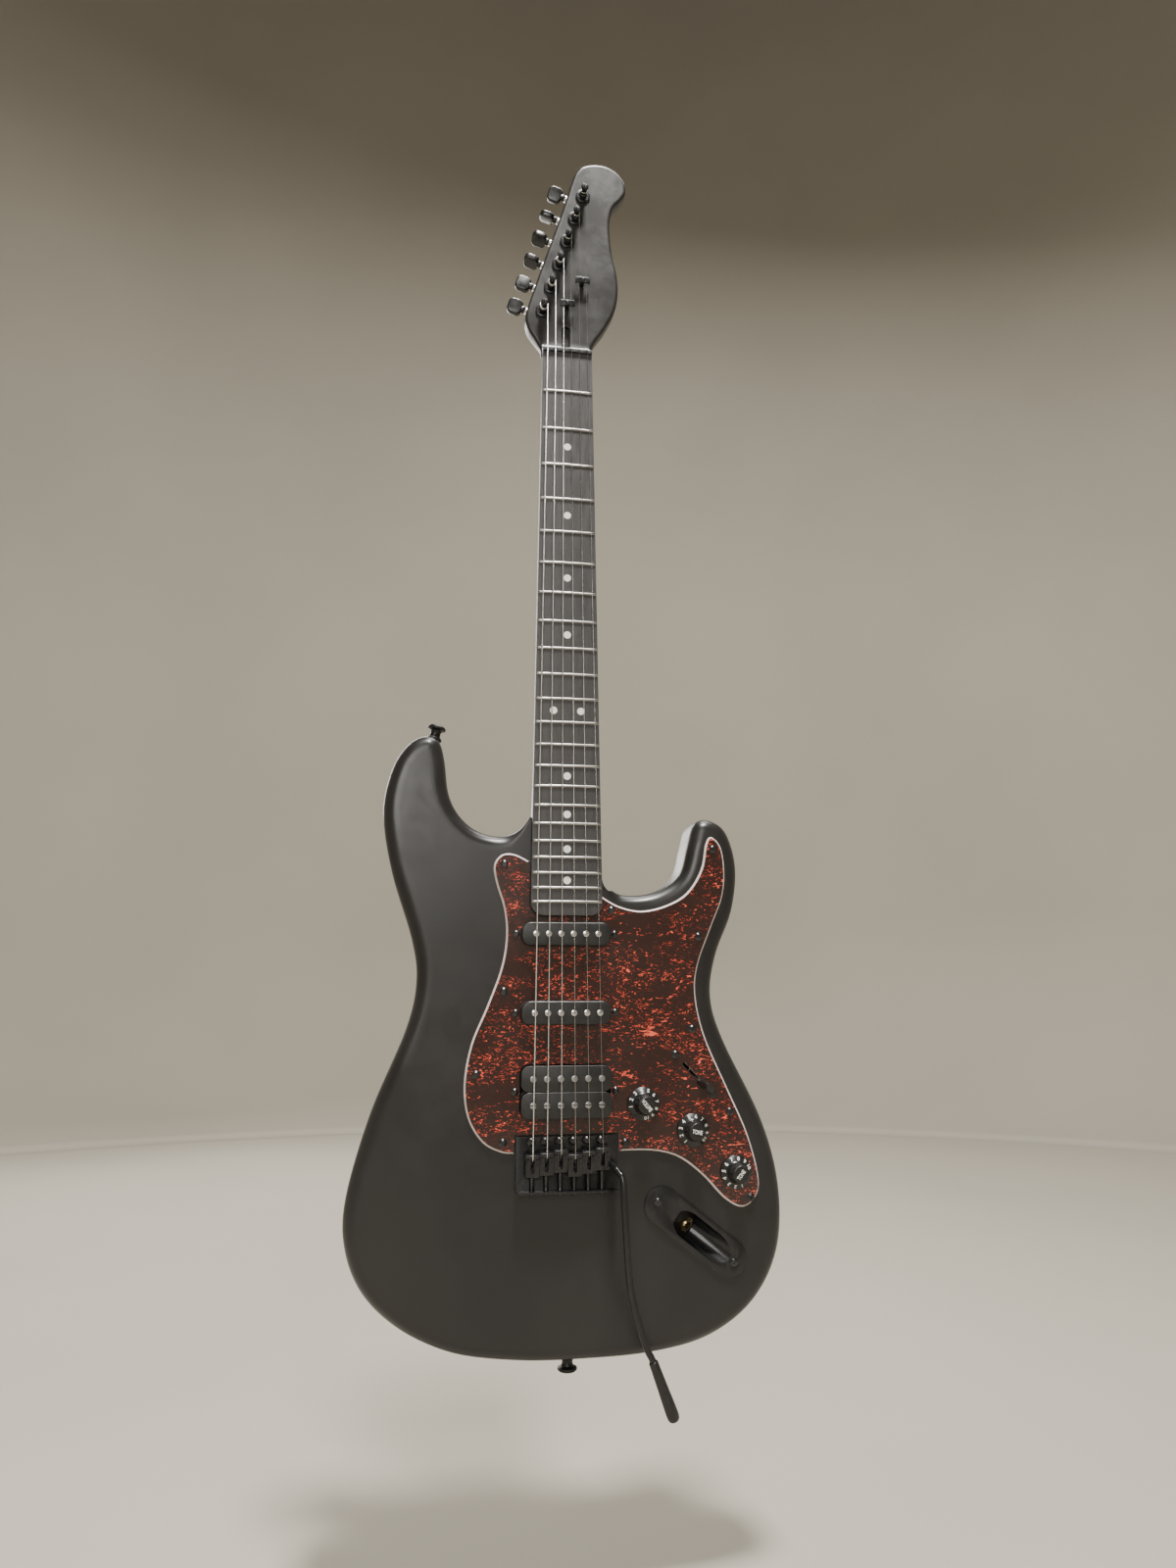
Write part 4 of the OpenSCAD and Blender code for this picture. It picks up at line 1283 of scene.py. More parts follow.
@dataclass
class BoltOnNeck:
    """Neck, headstock, fingerboard and what is set into them."""

    fret_count: int = 22
    fret_width: float = 2.2
    fret_height: float = 1.1
    heel_start: float = -399.0
    heel_depth: float = 16.0
    head_edge: float = 2.6
    head_points: tuple[Point2, ...] = (
        (-21.5, 2), (-22.5, 9), (-27, 18), (-33, 28), (-35, 39), (-31.5, 54), (-18.5, 97),
        (-9, 127), (0, 157), (5, 175), (9, 186), (16, 193.5), (28, 196.5), (39, 195),
        (48, 189), (53.5, 180), (54, 170), (49, 161.5), (43, 154), (40, 143),
        (39.5, 128), (41.5, 108), (45.5, 88), (46.5, 70), (43.5, 52), (35.5, 35),
        (26, 20), (22, 10), (21.5, 2))
    # Distance from the nut, depth of the back below the board, and its roundness
    sections: tuple[Point3, ...] = (
        (4, 15.2, 0.85), (-60, 15.0, 0.85), (-324, 16.5, 0.80), (-372, 17.0, 0.70),
        (-392, 18.0, 0.45), (-404, 19.0, 0.25))

    def ring(self, y: float, width: float, top: float, depth: float, power: float) -> np.ndarray:
        """One cross-section, flat on top and rounded behind.

        Args:
            y: Its place along the neck.
            width: Its width.
            top: Height of its flat top.
            depth: How deep it reaches below that.
            power: How square its back is: 1 is round, 0 square.

        Returns:
            The points of the section.
        """
        a = np.radians(np.linspace(180, 0, 33))
        c, s = np.cos(a), np.maximum(np.sin(a), 0)
        return np.stack([width / 2 * np.sign(c) * np.abs(c) ** power, np.full(33, y),
                         top - depth * s ** power], 1)

    def shaft(self) -> Shape:
        """The neck's shaft, from inside the headstock to the heel.

        Returns:
            The shape.
        """
        table = np.array(self.sections)
        rings = [self.ring(14, 41, -2.6, 11.2, 0.75), self.ring(9, 41.6, 0.3, 12.8, 0.8)]
        for y in np.concatenate([np.arange(4, -372, -12.0), np.arange(-372, -404.1, -4.0)]):
            depth = np.interp(-y, -table[:, 0], table[:, 1])
            power = np.interp(-y, -table[:, 0], table[:, 2])
            rings.append(self.ring(y, neck_width(y) - 0.1, BOARD_UNDER, depth, power))
        return Shape().rings(rings)

    def heel(self) -> Shape:
        """The square heel that fills the body's pocket.

        Returns:
            The shape.
        """
        wide, narrow = neck_width(HEEL_END) / 2, neck_width(self.heel_start) / 2
        ring = np.array([(-wide, HEEL_END), (wide, HEEL_END),
                         (narrow, self.heel_start), (-narrow, self.heel_start)])
        return Shape().slab(ring, -self.heel_depth, BOARD_UNDER)

    def rod_slot(self) -> Shape:
        """The opening behind the nut where the truss rod is turned."""
        slot = Shape().slab(set_ring(pad_outline(7.4, 30, 3.6), 0, 17), -5.2, BOARD_UNDER + 3)
        return slot.slab(box_ring(-3.1, -10, 3.1, 6), -5, BOARD_UNDER + 3.1)

    def head_front(self, p: np.ndarray) -> np.ndarray:
        """Headstock's face, swept up to the nut."""
        rise = np.clip((15 - p[:, 1]) / 13, 0, 1)
        return HEAD_FACE + 5.0 * rise ** 2

    def head_back(self, p: np.ndarray) -> np.ndarray:
        """Headstock's back, running into the neck's."""
        return HEAD_BACK + 3.9 * (1 - ease((p[:, 1] + 2) / 26))

    def back_edge(self, p: np.ndarray) -> np.ndarray:
        """Edge radius behind, wider where it meets the shaft."""
        return self.head_edge + 5.0 * (1 - ease((p[:, 1] - 2) / 24))

    def frets(self) -> Shape:
        """Rounded fret wires along the crowned board.

        Returns:
            The wires.
        """
        made = Shape()
        turn = np.radians(np.linspace(0, 180, 9))
        side = [(1.0, -0.25), *zip(np.cos(turn), np.sin(turn)), (-1.0, -0.25)]
        for n in range(1, self.fret_count + 1):
            y = fret_y(n)
            half = neck_width(y) / 2 - 0.4
            rings = []
            for x in np.concatenate([[-half], np.linspace(-half + 0.8, half - 0.8, 19), [half]]):
                tall = self.fret_height * (0.35 if abs(x) > half - 0.1 else 1.0)
                base = BOARD_TOP - crown(x)
                rings.append(np.array([(x, y + self.fret_width / 2 * a, base + tall * b)
                                       for a, b in side]))
            made.rings(rings)
        return made

    def build(self, shop: Workshop) -> None:
        """Makes the neck and everything on it.

        Args:
            shop: Where it is put together.
        """
        ring = even(smooth_curve(self.head_points, 5), 1.6)
        head = carved_plate(ring, self.head_front, self.head_back,
                            lambda p: np.full(len(p), self.head_edge), self.back_edge, 5.0)
        neck = shop.piece("neck_shell", self.shaft(), [Finish.NECK], GUITAR, ["neck"])
        carve(neck, head, Joinery.GLUE_ON)
        carve(neck, self.heel(), Joinery.GLUE_ON)
        carve(neck, self.rod_slot())
        shade(neck.data, 38.0)
        shop.piece("fret_wires", self.frets(), [Finish.FRET], GUITAR, ["frets"],
                   50.0)
        shop.softened("nut", Finish.NUT, 0.25)
        shop.softened("string_trees", Finish.HARDWARE, 0.3)
        for node, finish in (("fingerboard", Finish.BOARD), ("position_dots", Finish.DOT),
                             ("truss_rod", Finish.STEEL), ("headstock_screws", Finish.SCREW),
                             ("neck_screws", Finish.SCREW)):
            shop.finish_node(node, finish)
        shop.softened("neck_plate", Finish.HARDWARE, 0.5)


# ---- Tuners ----


@dataclass
class TunerRow:
    """Six tuners in line: housings, posts, buttons and their shafts."""

    count: int = 6
    start: Point2 = (-20.0, 45.0)
    pitch: float = 24.3
    lean: float = 16.8
    worm_y: float = 7.7
    worm_z: float = HEAD_BACK - 6
    button_turns: tuple[float, ...] = (84, 92, 4, 12, -14, 78)

    def post(self, i: int) -> Point2:
        """Centre of a string post.

        Args:
            i: Number of the tuner, from the thick string.

        Returns:
            Its x and y.
        """
        a = math.radians(self.lean)
        return (self.start[0] + i * self.pitch * math.sin(a),
                self.start[1] + i * self.pitch * math.cos(a))

    def set_in(self, i: int) -> Matrix:
        """Placement of a tuner in luthier's millimetres.

        Args:
            i: Number of the tuner, from the thick string.

        Returns:
            The placement.
        """
        x, y = self.post(i)
        return (Matrix.Translation((x, y, 0))
                @ Matrix.Rotation(math.radians(-self.lean), 4, "Z"))

    def button(self, i: int) -> Shape:
        """Button with its shaft, collar and worm, drawn along the shaft.

        Args:
            i: Number of the tuner, from the thick string.

        Returns:
            The placed shape.
        """
        face = pad_outline(14.2, 13.2, 4.4, 6)
        blank = Shape().slab(face, -2.9, 2.9, 1.5, 4, 1.5)
        made = blank.placed(Matrix.Translation((0, 0, 25.9)) @ Matrix.Rotation(
            math.radians(90), 4, "X"))
        made.join(Shape().lathe([(1.9, 15), (3.1, 17.6), (3.2, 19.0), (2.9, 20.4)], 32))
        shaft = Shape().lathe([(2.2, -6), (2.2, 7), (1.9, 7.1), (1.9, 14.2), (2.5, 14.3),
                               (2.9, 14.6), (2.9, 16.6), (2.5, 17.2), (1.8, 17.3)], 32)
        shaft.slots = [1] * len(shaft.faces)
        made.join(shaft)
        spin = Matrix.Rotation(math.radians(self.button_turns[i]), 4, "Z")
        lay = Matrix.Translation((0, self.worm_y, self.worm_z)) @ Matrix.Rotation(
            math.radians(-90), 4, "Y")
        return made.placed(self.set_in(i) @ lay @ spin)

    def housing(self, i: int) -> Shape:
        """Closed gear housing behind the headstock.

        Args:
            i: Number of the tuner, from the thick string.

        Returns:
            The placed shape.
        """
        ring = set_ring(pad_outline(18, 21, 3), -1.5, 3)
        made = Shape().slab(ring, HEAD_BACK - 11.5, HEAD_BACK, under=2.6, steps=4)
        boss = Shape().lathe([(3.4, 8.0), (3.4, 13.4), (2.9, 14.0), (2.05, 14.0)], 32)
        made.join(boss.placed(Matrix.Translation((0, self.worm_y, self.worm_z))
                              @ Matrix.Rotation(math.radians(-90), 4, "Y")))
        return made.placed(self.set_in(i))

    def build(self, shop: Workshop) -> None:
        """Makes all tuners.

        Args:
            shop: Where they are put together.
        """
        housings = Shape()
        for i in range(self.count):
            housings.join(self.housing(i))
            shop.piece(f"tuner_key_{i + 1}", self.button(i), [Finish.KNOB, Finish.CHROME],
                       f"tuner_{i + 1}", [f"tuner_button_{i + 1}"])
            shop.softened(f"tuner_post_{i + 1}", Finish.HARDWARE, 0.3)
        shop.piece("gear_housings", housings, [Finish.CAST], GUITAR, ["tuner_housings"])
        shop.softened("tuner_bushings", Finish.HARDWARE, 0.35)


# ---- Pickguard and pickups ----


@dataclass
class Pickguard:
    """Three-ply guard with a chamfered edge that shows its pale ply."""

    chamfer: float = 1.3
    wall: float = 0.7
    crisp: float = 20.0
    pot_hole: float = 4.8
    # Length, width and corner of each pickup's window
    windows: tuple[Point3, ...] = ((70.0, 18.5, 8), (70.0, 18.5, 8), (69.4, 39.4, 7))
    left: tuple[Point2, ...] = (
        (-28.4, -434.5), (-40, -429), (-50, -429.5), (-56, -438), (-54, -452), (-48, -471),
        (-46, -492), (-49.5, -516), (-60, -545), (-71.5, -573), (-76.3, -602), (-73, -626),
        (-62, -643.5), (-48, -651), (-38.5, -652))
    right: tuple[Point2, ...] = (
        (41, -652), (60, -652), (76, -654), (90, -659.5), (106, -672), (122, -688.5),
        (136, -695), (147, -687), (149, -672), (141, -641), (126, -607), (109, -568),
        (102.5, -537), (105, -514), (116, -485.5), (126, -461), (128.5, -440),
        (126, -421), (118.5, -412.5), (113.5, -418), (109, -439), (97, -457.5),
        (80, -467.5), (60, -472), (42, -468.5), (28.4, -461))

    def ring(self) -> np.ndarray:
        """Outline, with the notches for the bridge and the neck."""
        return np.vstack([smooth_curve(self.left, 6), [(-38.5, -638.8), (41, -638.8)],
                          smooth_curve(self.right, 6), [(28.4, -467), (-28.4, -467)]])

    def build(self, shop: Workshop) -> None:
        """Makes the guard.

        Args:
            shop: Where it is put together.
        """
        ring = self.ring()
        if inward_turning(ring) < 0:
            ring = ring[::-1]
        notch = (abs(ring[:, 0]) < 29) & (ring[:, 1] > -470)
        notch |= (ring[:, 0] > -39) & (ring[:, 0] < 41.5) & (ring[:, 1] < -638)
        bevel = (inward(ring).T * np.where(notch, 0.05, self.chamfer)).T
        levels = ((0.0, 0.0), (0.0, self.wall), (1.0, GUARD_THICK))
        shape = Shape().rings([np.column_stack([ring + d * bevel, np.full(len(ring), z)])
                               for d, z in levels])
        guard = shop.piece("guard_sheet", shape, [Finish.SHELL, Finish.PLY_WHITE], GUITAR,
                           ["pickguard"], self.crisp)
        cut = Shape()
        for y, window in zip(PICKUP_Y, self.windows):
            cut.slab(set_ring(pad_outline(*window), 0, y), -2, 4)
        for x, y in POT_CENTRES:
            cut.slab(circle_ring(x, y, self.pot_hole), -2, 4)
        cut.slab(set_ring(pad_outline(24, 2.4, 1.1), *SWITCH_CENTRE, SWITCH_LEAN), -2, 4)
        carve(guard, cut)
        shade(guard.data, self.crisp)
        for poly in guard.data.polygons:
            poly.material_index = 0 if poly.normal.y < -0.99 else 1
        shop.finish_node("cover_screws", Finish.SCREW)


@dataclass
class PickupSet:
    """Two single-coil pickups and a twin-bobbin one."""

    cover_length: float = 69.5
    cover_width: float = 18.0
    cover_tops: tuple[float, float] = (8.5, 9.0)
    bobbin_length: float = 68.8
    bobbin_width: float = 19.0
    bobbin_top: float = 10.0

    def covers(self) -> Shape:
        """Moulded single-coil covers.

        Returns:
            Both covers.
        """
        made = Shape()
        for y, top in zip(PICKUP_Y, self.cover_tops):
            ring = set_ring(pad_outline(self.cover_length, self.cover_width, 7.5, 12), 0, y)
            made.slab(ring, -8, top, 1.7, 5)
        return made

    def bobbins(self) -> Shape:
        """Bobbins of the twin-coil pickup, each wrapped between its flanges.

        Returns:
            Both bobbins.
        """
        made = Shape()
        for s in (-1, 1):
            y = PICKUP_Y[2] + s * (self.bobbin_width / 2 + 0.1)
            for low, high in ((8.0, self.bobbin_top), (-8.0, -6.4)):
                ring = set_ring(pad_outline(self.bobbin_length, self.bobbin_width, 6, 10), 0, y)
                made.slab(ring, low, high, 0.6, 3)
            made.slab(set_ring(pad_outline(66.8, 17.2, 5.4), 0, y), -6.5, 8.1)
        return made

    def build(self, shop: Workshop) -> None:
        """Makes the pickups.

        Args:
            shop: Where they are put together.
        """
        shop.piece("pickup_covers", self.covers(), [Finish.COVER], GUITAR,
                   ["single_coil_covers"])
        shop.piece("bobbins", self.bobbins(), [Finish.COVER], GUITAR, ["humbucker_bobbins"])
        shop.softened("single_coil_poles", Finish.POLE, 0.35)
        shop.softened("humbucker_poles", Finish.SLUG, 0.25)
        for node, finish in (("coil_windings", Finish.COIL), ("pickup_bases", Finish.FIBRE),
                             ("pickup_screws", Finish.SCREW)):
            shop.finish_node(node, finish)


# ---- Controls ----


@dataclass
class DialKnob:
    """Skirted knob with fluted grip, printed dial and a word on its cap."""

    name: str
    word: str
    centre: Point2
    turned: float
    base: float = 3.0
    top: float = 16.3
    skirt: float = 12.3
    flutes: int = 26

    def flute(self, angle: float, z: float) -> float:
        """Change of radius at an angle and height of the grip."""
        run = float(ease((z - 7.6) / 1.2) * ease((15.9 - z) / 0.9))
        return -0.42 * run * max(0.0, math.cos(self.flutes * angle)) ** 2

    def grip(self) -> Shape:
        """The knob and the shaft inside it.

        Returns:
            The shape, about its own axis.
        """
        b = self.base
        profile = [(self.skirt - 0.3, b), (self.skirt, b + 0.3), (self.skirt, b + 0.8),
                   (self.skirt - 0.4, b + 1.15), (8.9, b + 3.0), (8.0, b + 3.6), (7.5, b + 4.4),
                   (7.25, b + 5.6), (7.05, b + 7.4), (6.85, b + 9.6), (6.65, b + 11.6),
                   (6.5, b + 12.4), (6.2, self.top - 0.35), (5.8, self.top - 0.08),
                   (5.2, self.top), (2.0, self.top)]
        made = Shape().lathe(profile, self.flutes * 6, self.flute)
        return made.join(Shape().lathe([(3.0, -10), (3.0, b + 0.1)], 32))

    def dial(self) -> Shape:
        """Printed numbers round the skirt and the word on the cap.

        Returns:
            The print, about the knob's axis.
        """
        printed = Shape()
        slope = math.atan2(1.85, 3.0)
        for number in range(1, 11):
            angle = math.radians(240 - 30 * number + 30)
            tilt = Matrix.Rotation(-slope, 4, "X")
            spin = Matrix.Rotation(angle - math.pi / 2, 4, "Z")
            at = Matrix.Translation((0, 10.3, self.base + 2.19))
            printed.join(lettering(str(number), 3.0).placed(spin @ at @ tilt))
        width = 10.2 if len(self.word) > 4 else 7.8
        word = lettering(self.word, 3.0, width)
        return printed.join(word.placed(Matrix.Translation((0, 0, self.top + 0.01))))

    def build(self, shop: Workshop) -> None:
        """Makes the knob.

        Args:
            shop: Where it is put together.
        """
        set_in = (Matrix.Translation((*self.centre, 0))
                  @ Matrix.Rotation(math.radians(self.turned), 4, "Z"))
        shop.piece(self.name + "_grip", self.grip().placed(set_in), [Finish.KNOB], self.name,
                   [self.name], 40.0)
        shop.piece(self.name + "_print", self.dial().placed(set_in), [Finish.PRINT],
                   self.name, angle=10.0)


def lettering(text: str, height: float, width: float | None = None) -> Shape:
    """Plain letters as a thin raised print, centred.

    Args:
        text: What is printed.
        height: Height of its capitals in millimetres.
        width: Width to squeeze it to, or None.

    Returns:
        The letters, lying in the x-y plane.
    """
    curve = bpy.data.curves.new("letters", "FONT")
    curve.body = text
    curve.size = height * 1.42
    curve.extrude = 0.02
    curve.offset = 0.03 * height
    curve.resolution_u = 3
    curve.align_x = "CENTER"
    curve.align_y = "CENTER"
    holder = linked("letters", curve)
    bpy.context.view_layer.update()
    graph = bpy.context.evaluated_depsgraph_get()
    mesh = bpy.data.meshes.new_from_object(holder.evaluated_get(graph))
    points = np.array([tuple(v.co) for v in mesh.vertices])
    faces = [tuple(p.vertices) for p in mesh.polygons]
    bpy.data.objects.remove(holder)
    middle = (points.min(0) + points.max(0)) / 2
    points[:, :2] -= middle[:2]
    if width:
        points[:, 0] *= width / np.ptp(points[:, 0])
    return Shape().add(points, faces)


@dataclass
class Controls:
    """Knobs, blade switch and output socket."""

    knobs: tuple[DialKnob, ...] = (
        DialKnob("volume_knob", "VOLUME", POT_CENTRES[0], -50),
        DialKnob("tone_knob_1", "TONE", POT_CENTRES[1], -10),
        DialKnob("tone_knob_2", "TONE", POT_CENTRES[2], 52))

    def build(self, shop: Workshop) -> None:
        """Makes the controls.

        Args:
            shop: Where they are put together.
        """
        for knob in self.knobs:
            knob.build(shop)
        shop.softened("switch_lever", Finish.STEEL, 0.15)
        shop.softened("switch_tip", Finish.KNOB, 0.8, 3)
        shop.softened("jack_plate", Finish.HARDWARE, 0.3)
        for node, finish in (("control_pots", Finish.STEEL), ("switch_frame", Finish.STEEL),
                             ("tone_capacitor", Finish.CAPACITOR), ("output_jack", Finish.BRASS)):
            shop.finish_node(node, finish)


# ---- Bridge, arm and strings ----


def helix(centre: Point3, way: int, radius: float, wire: float, length: float, pitch: float,
          per_turn: int = 14) -> Shape:
    """Close-wound coil spring.

    Args:
        centre: Middle of its first turn.
        way: 1 where it runs up the neck, -1 where it runs down.
        radius: Radius of the wire's centre line.
        wire: Radius of the wire.
        length: Length of the coil.
        pitch: Advance of each turn.
        per_turn: Points on each turn.

    Returns:
        The spring.
    """
    a = np.arange(int(length / pitch * per_turn) + 1) * 2 * math.pi / per_turn
    x, y, z = centre
    path = np.stack([x + radius * np.cos(a), y + way * pitch * a / (2 * math.pi),
                     z + radius * np.sin(a)], 1)
    return Shape().tube(path, wire, 6)


@dataclass
class RockingBridge:
    """Six-screw bridge with its block, saddles, springs and arm."""

    saddle_back: tuple[float, ...] = (5, 3.6, 1.7, 4.9, 3.1, 1)
    saddle_top: float = 15.0
    pitch: float = 10.45
    rear: float = -679.5
    lip: float = 1.6
    claw_y: float = -566.0
    block_front: float = -653.0
    spring_z: float = -34.6
    spring_radius: float = 3.45
    spring_wire: float = 0.52
    spring_stretch: Point2 = (-584.0, -640.0)
    spring_x: tuple[float, ...] = (-19, 1, 21)
    arm_radius: float = 2.4
    arm_stub: Point2 = (34.5, -661.3)
    arm_route: tuple[Point3, ...] = (
        (34.5, -661.3, 8), (34.5, -661.4, 16), (36.3, -664, 22), (39, -669.5, 26),
        (39.7, -690, 28), (42.3, -735, 29), (46.5, -757.5, 29), (54.3, -781.5, 28),
        (59.2, -791.3, 27.5), (67.4, -812.5, 26.5))

    def saddle(self, i: int) -> Point3:
        """Point where string i leaves its saddle."""
        x = (i - 2.5) * self.pitch + 0.4
        return (x, -SCALE_LENGTH - self.saddle_back[i] + 0.5, self.saddle_top - crown(x))

    def intonation_springs(self) -> Shape:
        """Small springs between the lip and each saddle.

        Returns:
            All six.
        """
        made = Shape()
        for i in range(6):
            x, y, z = self.saddle(i)
            start = self.rear + self.lip + 0.3
            made.join(helix((x, start, z - 7), 1, 1.75, 0.33, y - 16.0 - start, 1.15, 12))
        return made

    def tension_springs(self) -> Shape:
        """Long springs from the claw to the block, hooked at both ends.

        Returns:
            All three.
        """
        made = Shape()
        start, end = self.claw_y - 14.0, self.block_front + 8.0
        radius, wire, z = self.spring_radius, self.spring_wire, self.spring_z
        for x in self.spring_x:
            made.join(helix((x, start, z), -1, radius, wire, start - end, 1.12))
            for coil, hold in ((start - 0.6, self.claw_y - 6.4),
                               (end + 0.4, self.block_front + 0.4)):
                hook = [(x + radius, coil, z), (x + 2.4, (coil + hold) / 2, z), (x, hold, z)]
                made.tube(smooth_curve(hook, 6), wire, 6)
        return made

    def arm(self) -> Shape:
        """Bent arm with its threaded shank in the block.

        Returns:
            The shape.
        """
        made = Shape().tube(smooth_curve(self.arm_route, 9), self.arm_radius, 20)
        x, y = self.arm_stub
        shank = Shape().lathe([(2.4, -14), (2.6, -13.6), (2.6, 9.6), (2.5, 10.2)], 32)
        return made.join(shank.placed(Matrix.Translation((x, y, 0))))

    def tip(self) -> Shape:
        """Moulded tip, swelling to a rounded end.

        Returns:
            The shape.
        """
        start, end = (Vector(self.arm_route[k]) for k in (8, 9))
        aim = (end - start).to_track_quat("Z", "Y").to_matrix().to_4x4()
        profile = [(2.65, 0.0), (3.1, 0.15), (3.35, 0.8), (3.5, 6), (3.9, 20), (4.3, 30),
                   (4.5, 37.0), (4.45, 39.4), (4.05, 41.6), (3.1, 42.8), (1.7, 43.2), (0.4, 43.2)]
        return Shape().lathe(profile, 32).placed(Matrix.Translation(start) @ aim)

    def build(self, shop: Workshop) -> None:
        """Makes the bridge.

        Args:
            shop: Where it is put together.
        """
        shop.softened("bridge_plate", Finish.HARDWARE, 0.45, 3)
        shop.softened("saddles", Finish.HARDWARE, 0.25)
        shop.softened("trem_block", Finish.CAST, 0.4)
        shop.softened("spring_claw", Finish.STEEL, 0.2)
        shop.softened("back_cover", Finish.COVER, 0.4)
        shop.piece("saddle_springs", self.intonation_springs(), [Finish.SCREW], TREMOLO,
                   ["intonation_springs"], 60.0)
        shop.piece("arm_rod", self.arm(), [Finish.HARDWARE], "arm", ["trem_arm"],
                   60.0)
        shop.piece("arm_grip", self.tip(), [Finish.KNOB], "arm", ["arm_tip"],
                   60.0)
        for node in ("saddle_screws", "intonation_screws", "pivot_screws"):
            shop.finish_node(node, Finish.SCREW)
        shop.bending("long_springs", self.tension_springs(), [Finish.SPRING], "trem_springs")


@dataclass
class StringSet:
    """Six strings from the block, over saddle and nut, to their posts."""

    bridge: RockingBridge
    tuners: TunerRow
    gauges: tuple[float, ...] = (1.17, 0.91, 0.66, 0.43, 0.33, 0.25)
    nut_pitch: float = 6.9
    hole_y: float = -660.5
    trees: tuple[Point2, ...] = ((0.8, 50.5), (14.0, 74.0))
    wound: int = 3
    stretch: Point2 = (-622.0, -648.0)
    height: float = 14.0

    def route(self, i: int) -> np.ndarray:
        """Centre line of a string.

        Args:
            i: Number of the string, from the thick one.

        Returns:
            Points from the block to the post.
        """
        r = self.gauges[i] / 2
        x, y, z = self.bridge.saddle(i)
        nut_x = (i - 2.5) * self.nut_pitch
        path = [(x, self.hole_y, -9), (x, self.hole_y, 3), (x, self.hole_y + 0.4, 6.5)]
        path += [(x, y + a, z + r + b) for a, b in ((-2.9, -0.9), (-1.9, 0.05), (-0.9, 0.25),
                                                    (0.2, 0.3), (1.4, 0.29))]
        nut = (nut_x, 0.2, 10.25 + r)
        lead = np.array(path[-1])
        for share in (0.01, 0.02, 0.03, 0.04, 0.05, 0.25, 0.5, 0.75):
            path.append(tuple(lead + share * (np.array(nut) - lead)))
        path += [nut, (nut_x, 3.4, 10.05 + r)]
        if i > 1:
            tree = self.trees[0 if i < 4 else 1]
            side = -3 if i % 2 == 0 else 3
            path.append((nut_x + (tree[0] - nut_x + side) * 0.9, tree[1], 3.4))
        px, py = self.tuners.post(i)
        wrap, gap, turns = 2.65 + r, self.gauges[i] + 0.12, 2.5 if i < 2 else 3.5
        for a in np.arange(-12, turns * 360 + 1, 12):
            path.append((px + wrap * math.cos(math.radians(a)), py + wrap
                         * math.sin(math.radians(a)), 7.2 - gap * max(a, 0) / 360))
        return np.array(path)

    def build(self, shop: Workshop) -> None:
        """Makes the strings.

        Args:
            shop: Where they are put together.
        """
        made = Shape()
        for i, gauge in enumerate(self.gauges):
            string = Shape().tube(self.route(i), gauge / 2, 10)
            x, *_ = self.bridge.saddle(i)
            ball = Shape().lathe([(1.2, -11), (1.9, -10.6), (1.9, -8.9), (1.2, -8.5)], 20)
            string.join(ball.placed(Matrix.Translation((x, self.hole_y, 0))))
            string.slots = [0 if i < self.wound else 1] * len(string.faces)
            made.join(string)
        shop.bending("string_wires", made, [Finish.WOUND_STRING, Finish.PLAIN_STRING],
                     "strings")


# ---- Studio ----


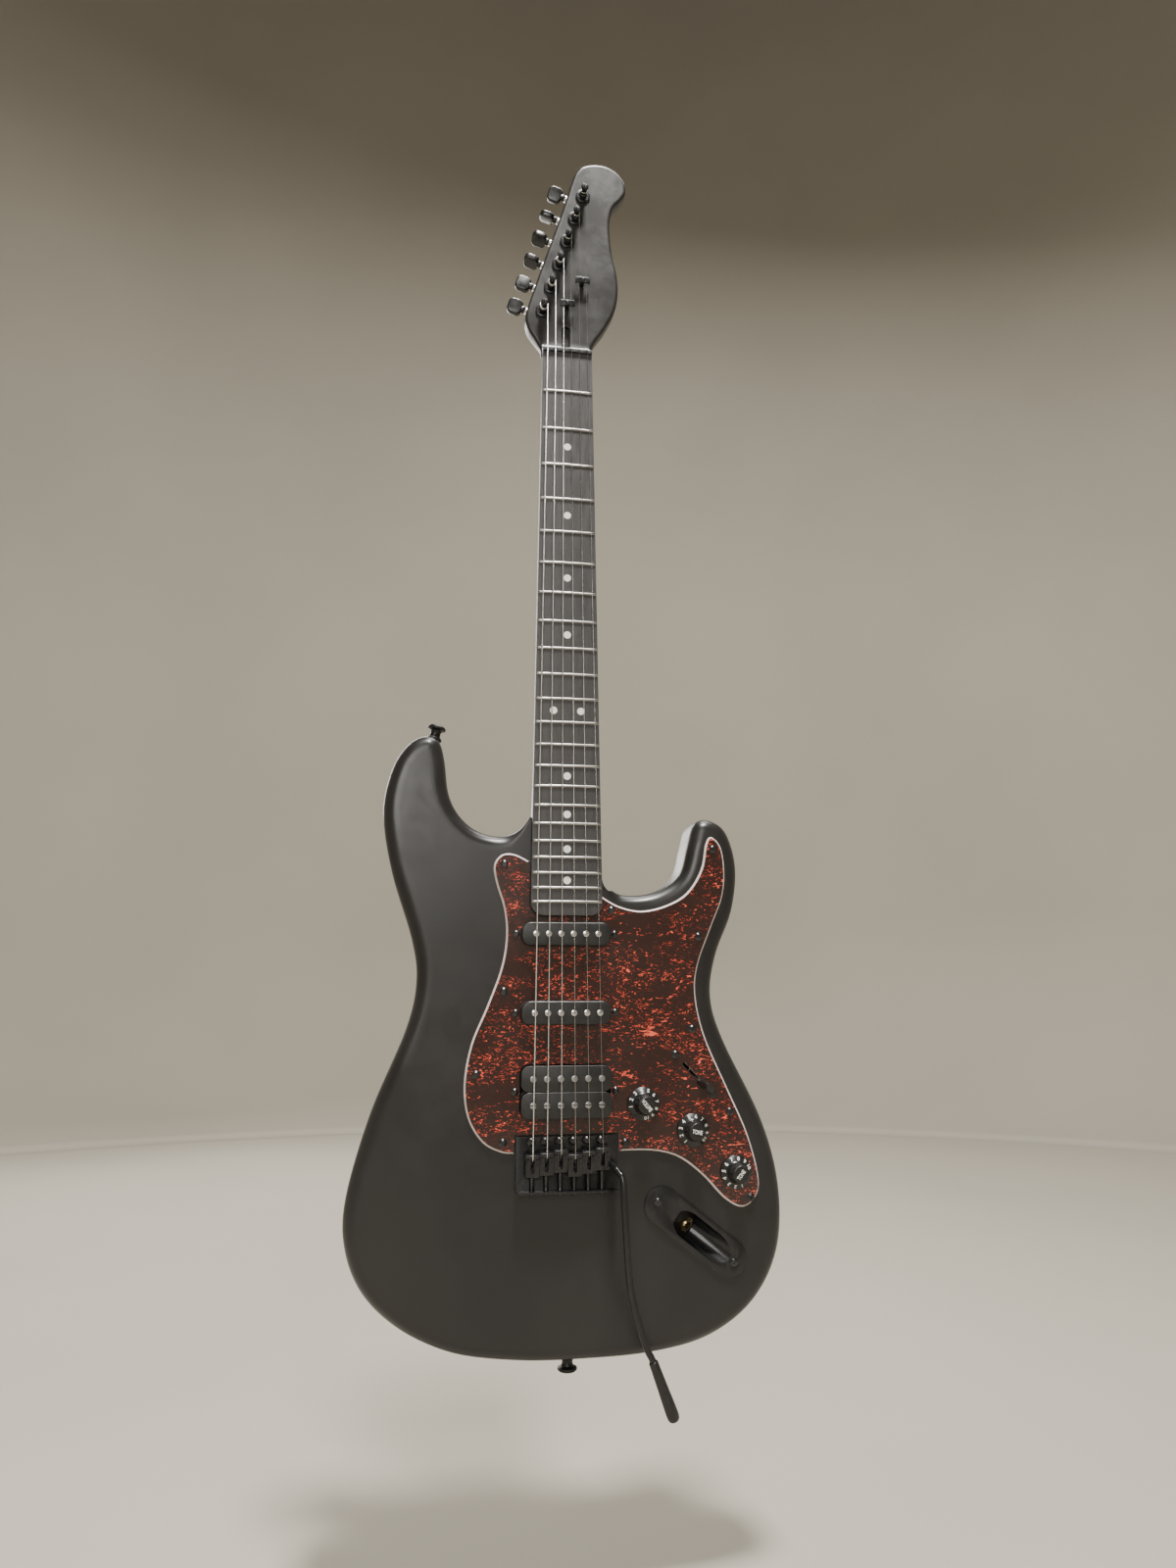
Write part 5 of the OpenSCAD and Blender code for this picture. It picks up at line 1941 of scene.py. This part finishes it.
@dataclass
class Studio:
    """Pale round cove, soft lights and the camera."""

    floor_z: float = -0.98
    reach: float = 2.6
    height: float = 9.0
    camera: Point3 = (-0.11798, -0.84298, -0.55188)
    target: Point3 = (0.01952, 0.0, -0.3899)
    roll: float = -0.156
    lens: float = 24.75
    bend: float = 0.7
    air: Point3 = (0.78, 0.76, 0.72)
    air_strength: float = 0.36
    # Name, place, aim, size and power
    lamps: tuple[tuple[str, Point3, Point3, float, float], ...] = (
        ("key_light", (0.12, -0.62, 1.65), (0, 0, -0.6), 0.32, 105),
        ("fill_light", (-0.45, -2.0, 0.2), (0, 0, -0.5), 0.9, 21),
        ("wall_light", (0.6, 0.9, 2.2), (0, 1.6, -0.6), 1.4, 50),
        ("back_light", (-0.7, 2.1, 0.5), (0, 0, -0.5), 1.3, 34))

    def cove(self) -> None:
        """Round floor that sweeps up into a wall."""
        profile = [(self.reach, self.floor_z)]
        for degrees in range(0, 91, 10):
            a = math.radians(degrees)
            profile.append((self.reach + self.bend * math.sin(a),
                            self.floor_z + self.bend * (1 - math.cos(a))))
        profile.append((self.reach + self.bend, self.floor_z + self.height))
        steps = 96
        points = [(r * math.cos(2 * math.pi * k / steps), r * math.sin(2 * math.pi * k / steps), z)
                  for r, z in profile for k in range(steps)]
        faces = [tuple(range(steps))]
        for i in range(len(profile) - 1):
            for k in range(steps):
                n = (k + 1) % steps
                faces.append((i * steps + k, i * steps + n, (i + 1) * steps + n,
                              (i + 1) * steps + k))
        mesh = bpy.data.meshes.new("studio_floor")
        mesh.from_pydata(points, [], faces)
        mesh.materials.append(StudioPaint().material())
        mesh.polygons.foreach_set("use_smooth", [True] * len(mesh.polygons))
        linked("studio_floor", mesh)

    def lamp(self, name: str, place: Point3, aim: Point3, size: float, power: float,
             colour: Point3 = (1.0, 0.97, 0.92)) -> None:
        """One soft square light.

        Args:
            name: Its name.
            place: Where it stands.
            aim: What it shines at.
            size: Its side in metres.
            power: Its power in watts.
            colour: Its colour.
        """
        data = bpy.data.lights.new(name, "AREA")
        data.size, data.energy, data.color = size, power, colour
        lamp = linked(name, data)
        lamp.location = place
        lamp.rotation_euler = (Vector(aim) - Vector(place)).to_track_quat("-Z", "Y").to_euler()

    def build(self) -> None:
        """Sets up the studio."""
        self.cove()
        for lamp in self.lamps:
            self.lamp(*lamp)
        world = bpy.data.worlds.new("studio_air")
        bpy.context.scene.world = world
        world.use_nodes = True
        glow = world.node_tree.nodes["Background"]
        glow.inputs["Color"].default_value = (*self.air, 1)
        glow.inputs["Strength"].default_value = self.air_strength
        data = bpy.data.cameras.new("camera")
        data.lens, data.sensor_width = self.lens, 36.0
        data.clip_start = 0.05
        camera = linked("camera", data)
        camera.location = self.camera
        look = (Vector(self.target) - Vector(self.camera)).to_track_quat("-Z", "Y")
        spin = Matrix.Rotation(math.radians(self.roll), 3, "Z")
        camera.rotation_euler = (look.to_matrix() @ spin).to_euler()
        bpy.context.scene.camera = camera


@dataclass
class Fittings:
    """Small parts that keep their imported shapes."""

    finishes: tuple[tuple[str, Finish], ...] = (
        ("strap_buttons", Finish.CAST), ("body_screws", Finish.SCREW))

    def build(self, shop: Workshop) -> None:
        """Dresses them."""
        for node, finish in self.finishes:
            shop.finish_node(node, finish)


def main() -> None:
    """Builds every sub-assembly in order."""
    logging.basicConfig(level=logging.INFO, format="%(name)s: %(message)s")
    shop = Workshop()
    bridge, tuners = RockingBridge(), TunerRow()
    Studio().build()
    for part in (SolidBody(), BoltOnNeck(), tuners, Pickguard(), PickupSet(), Controls(),
                 bridge, StringSet(bridge, tuners), Fittings()):
        part.build(shop)
        LOG.info("%s done", type(part).__name__)
    LOG.info("%d pieces made", len(shop.made))
    bpy.context.view_layer.update()


if __name__ == "__main__":
    main()
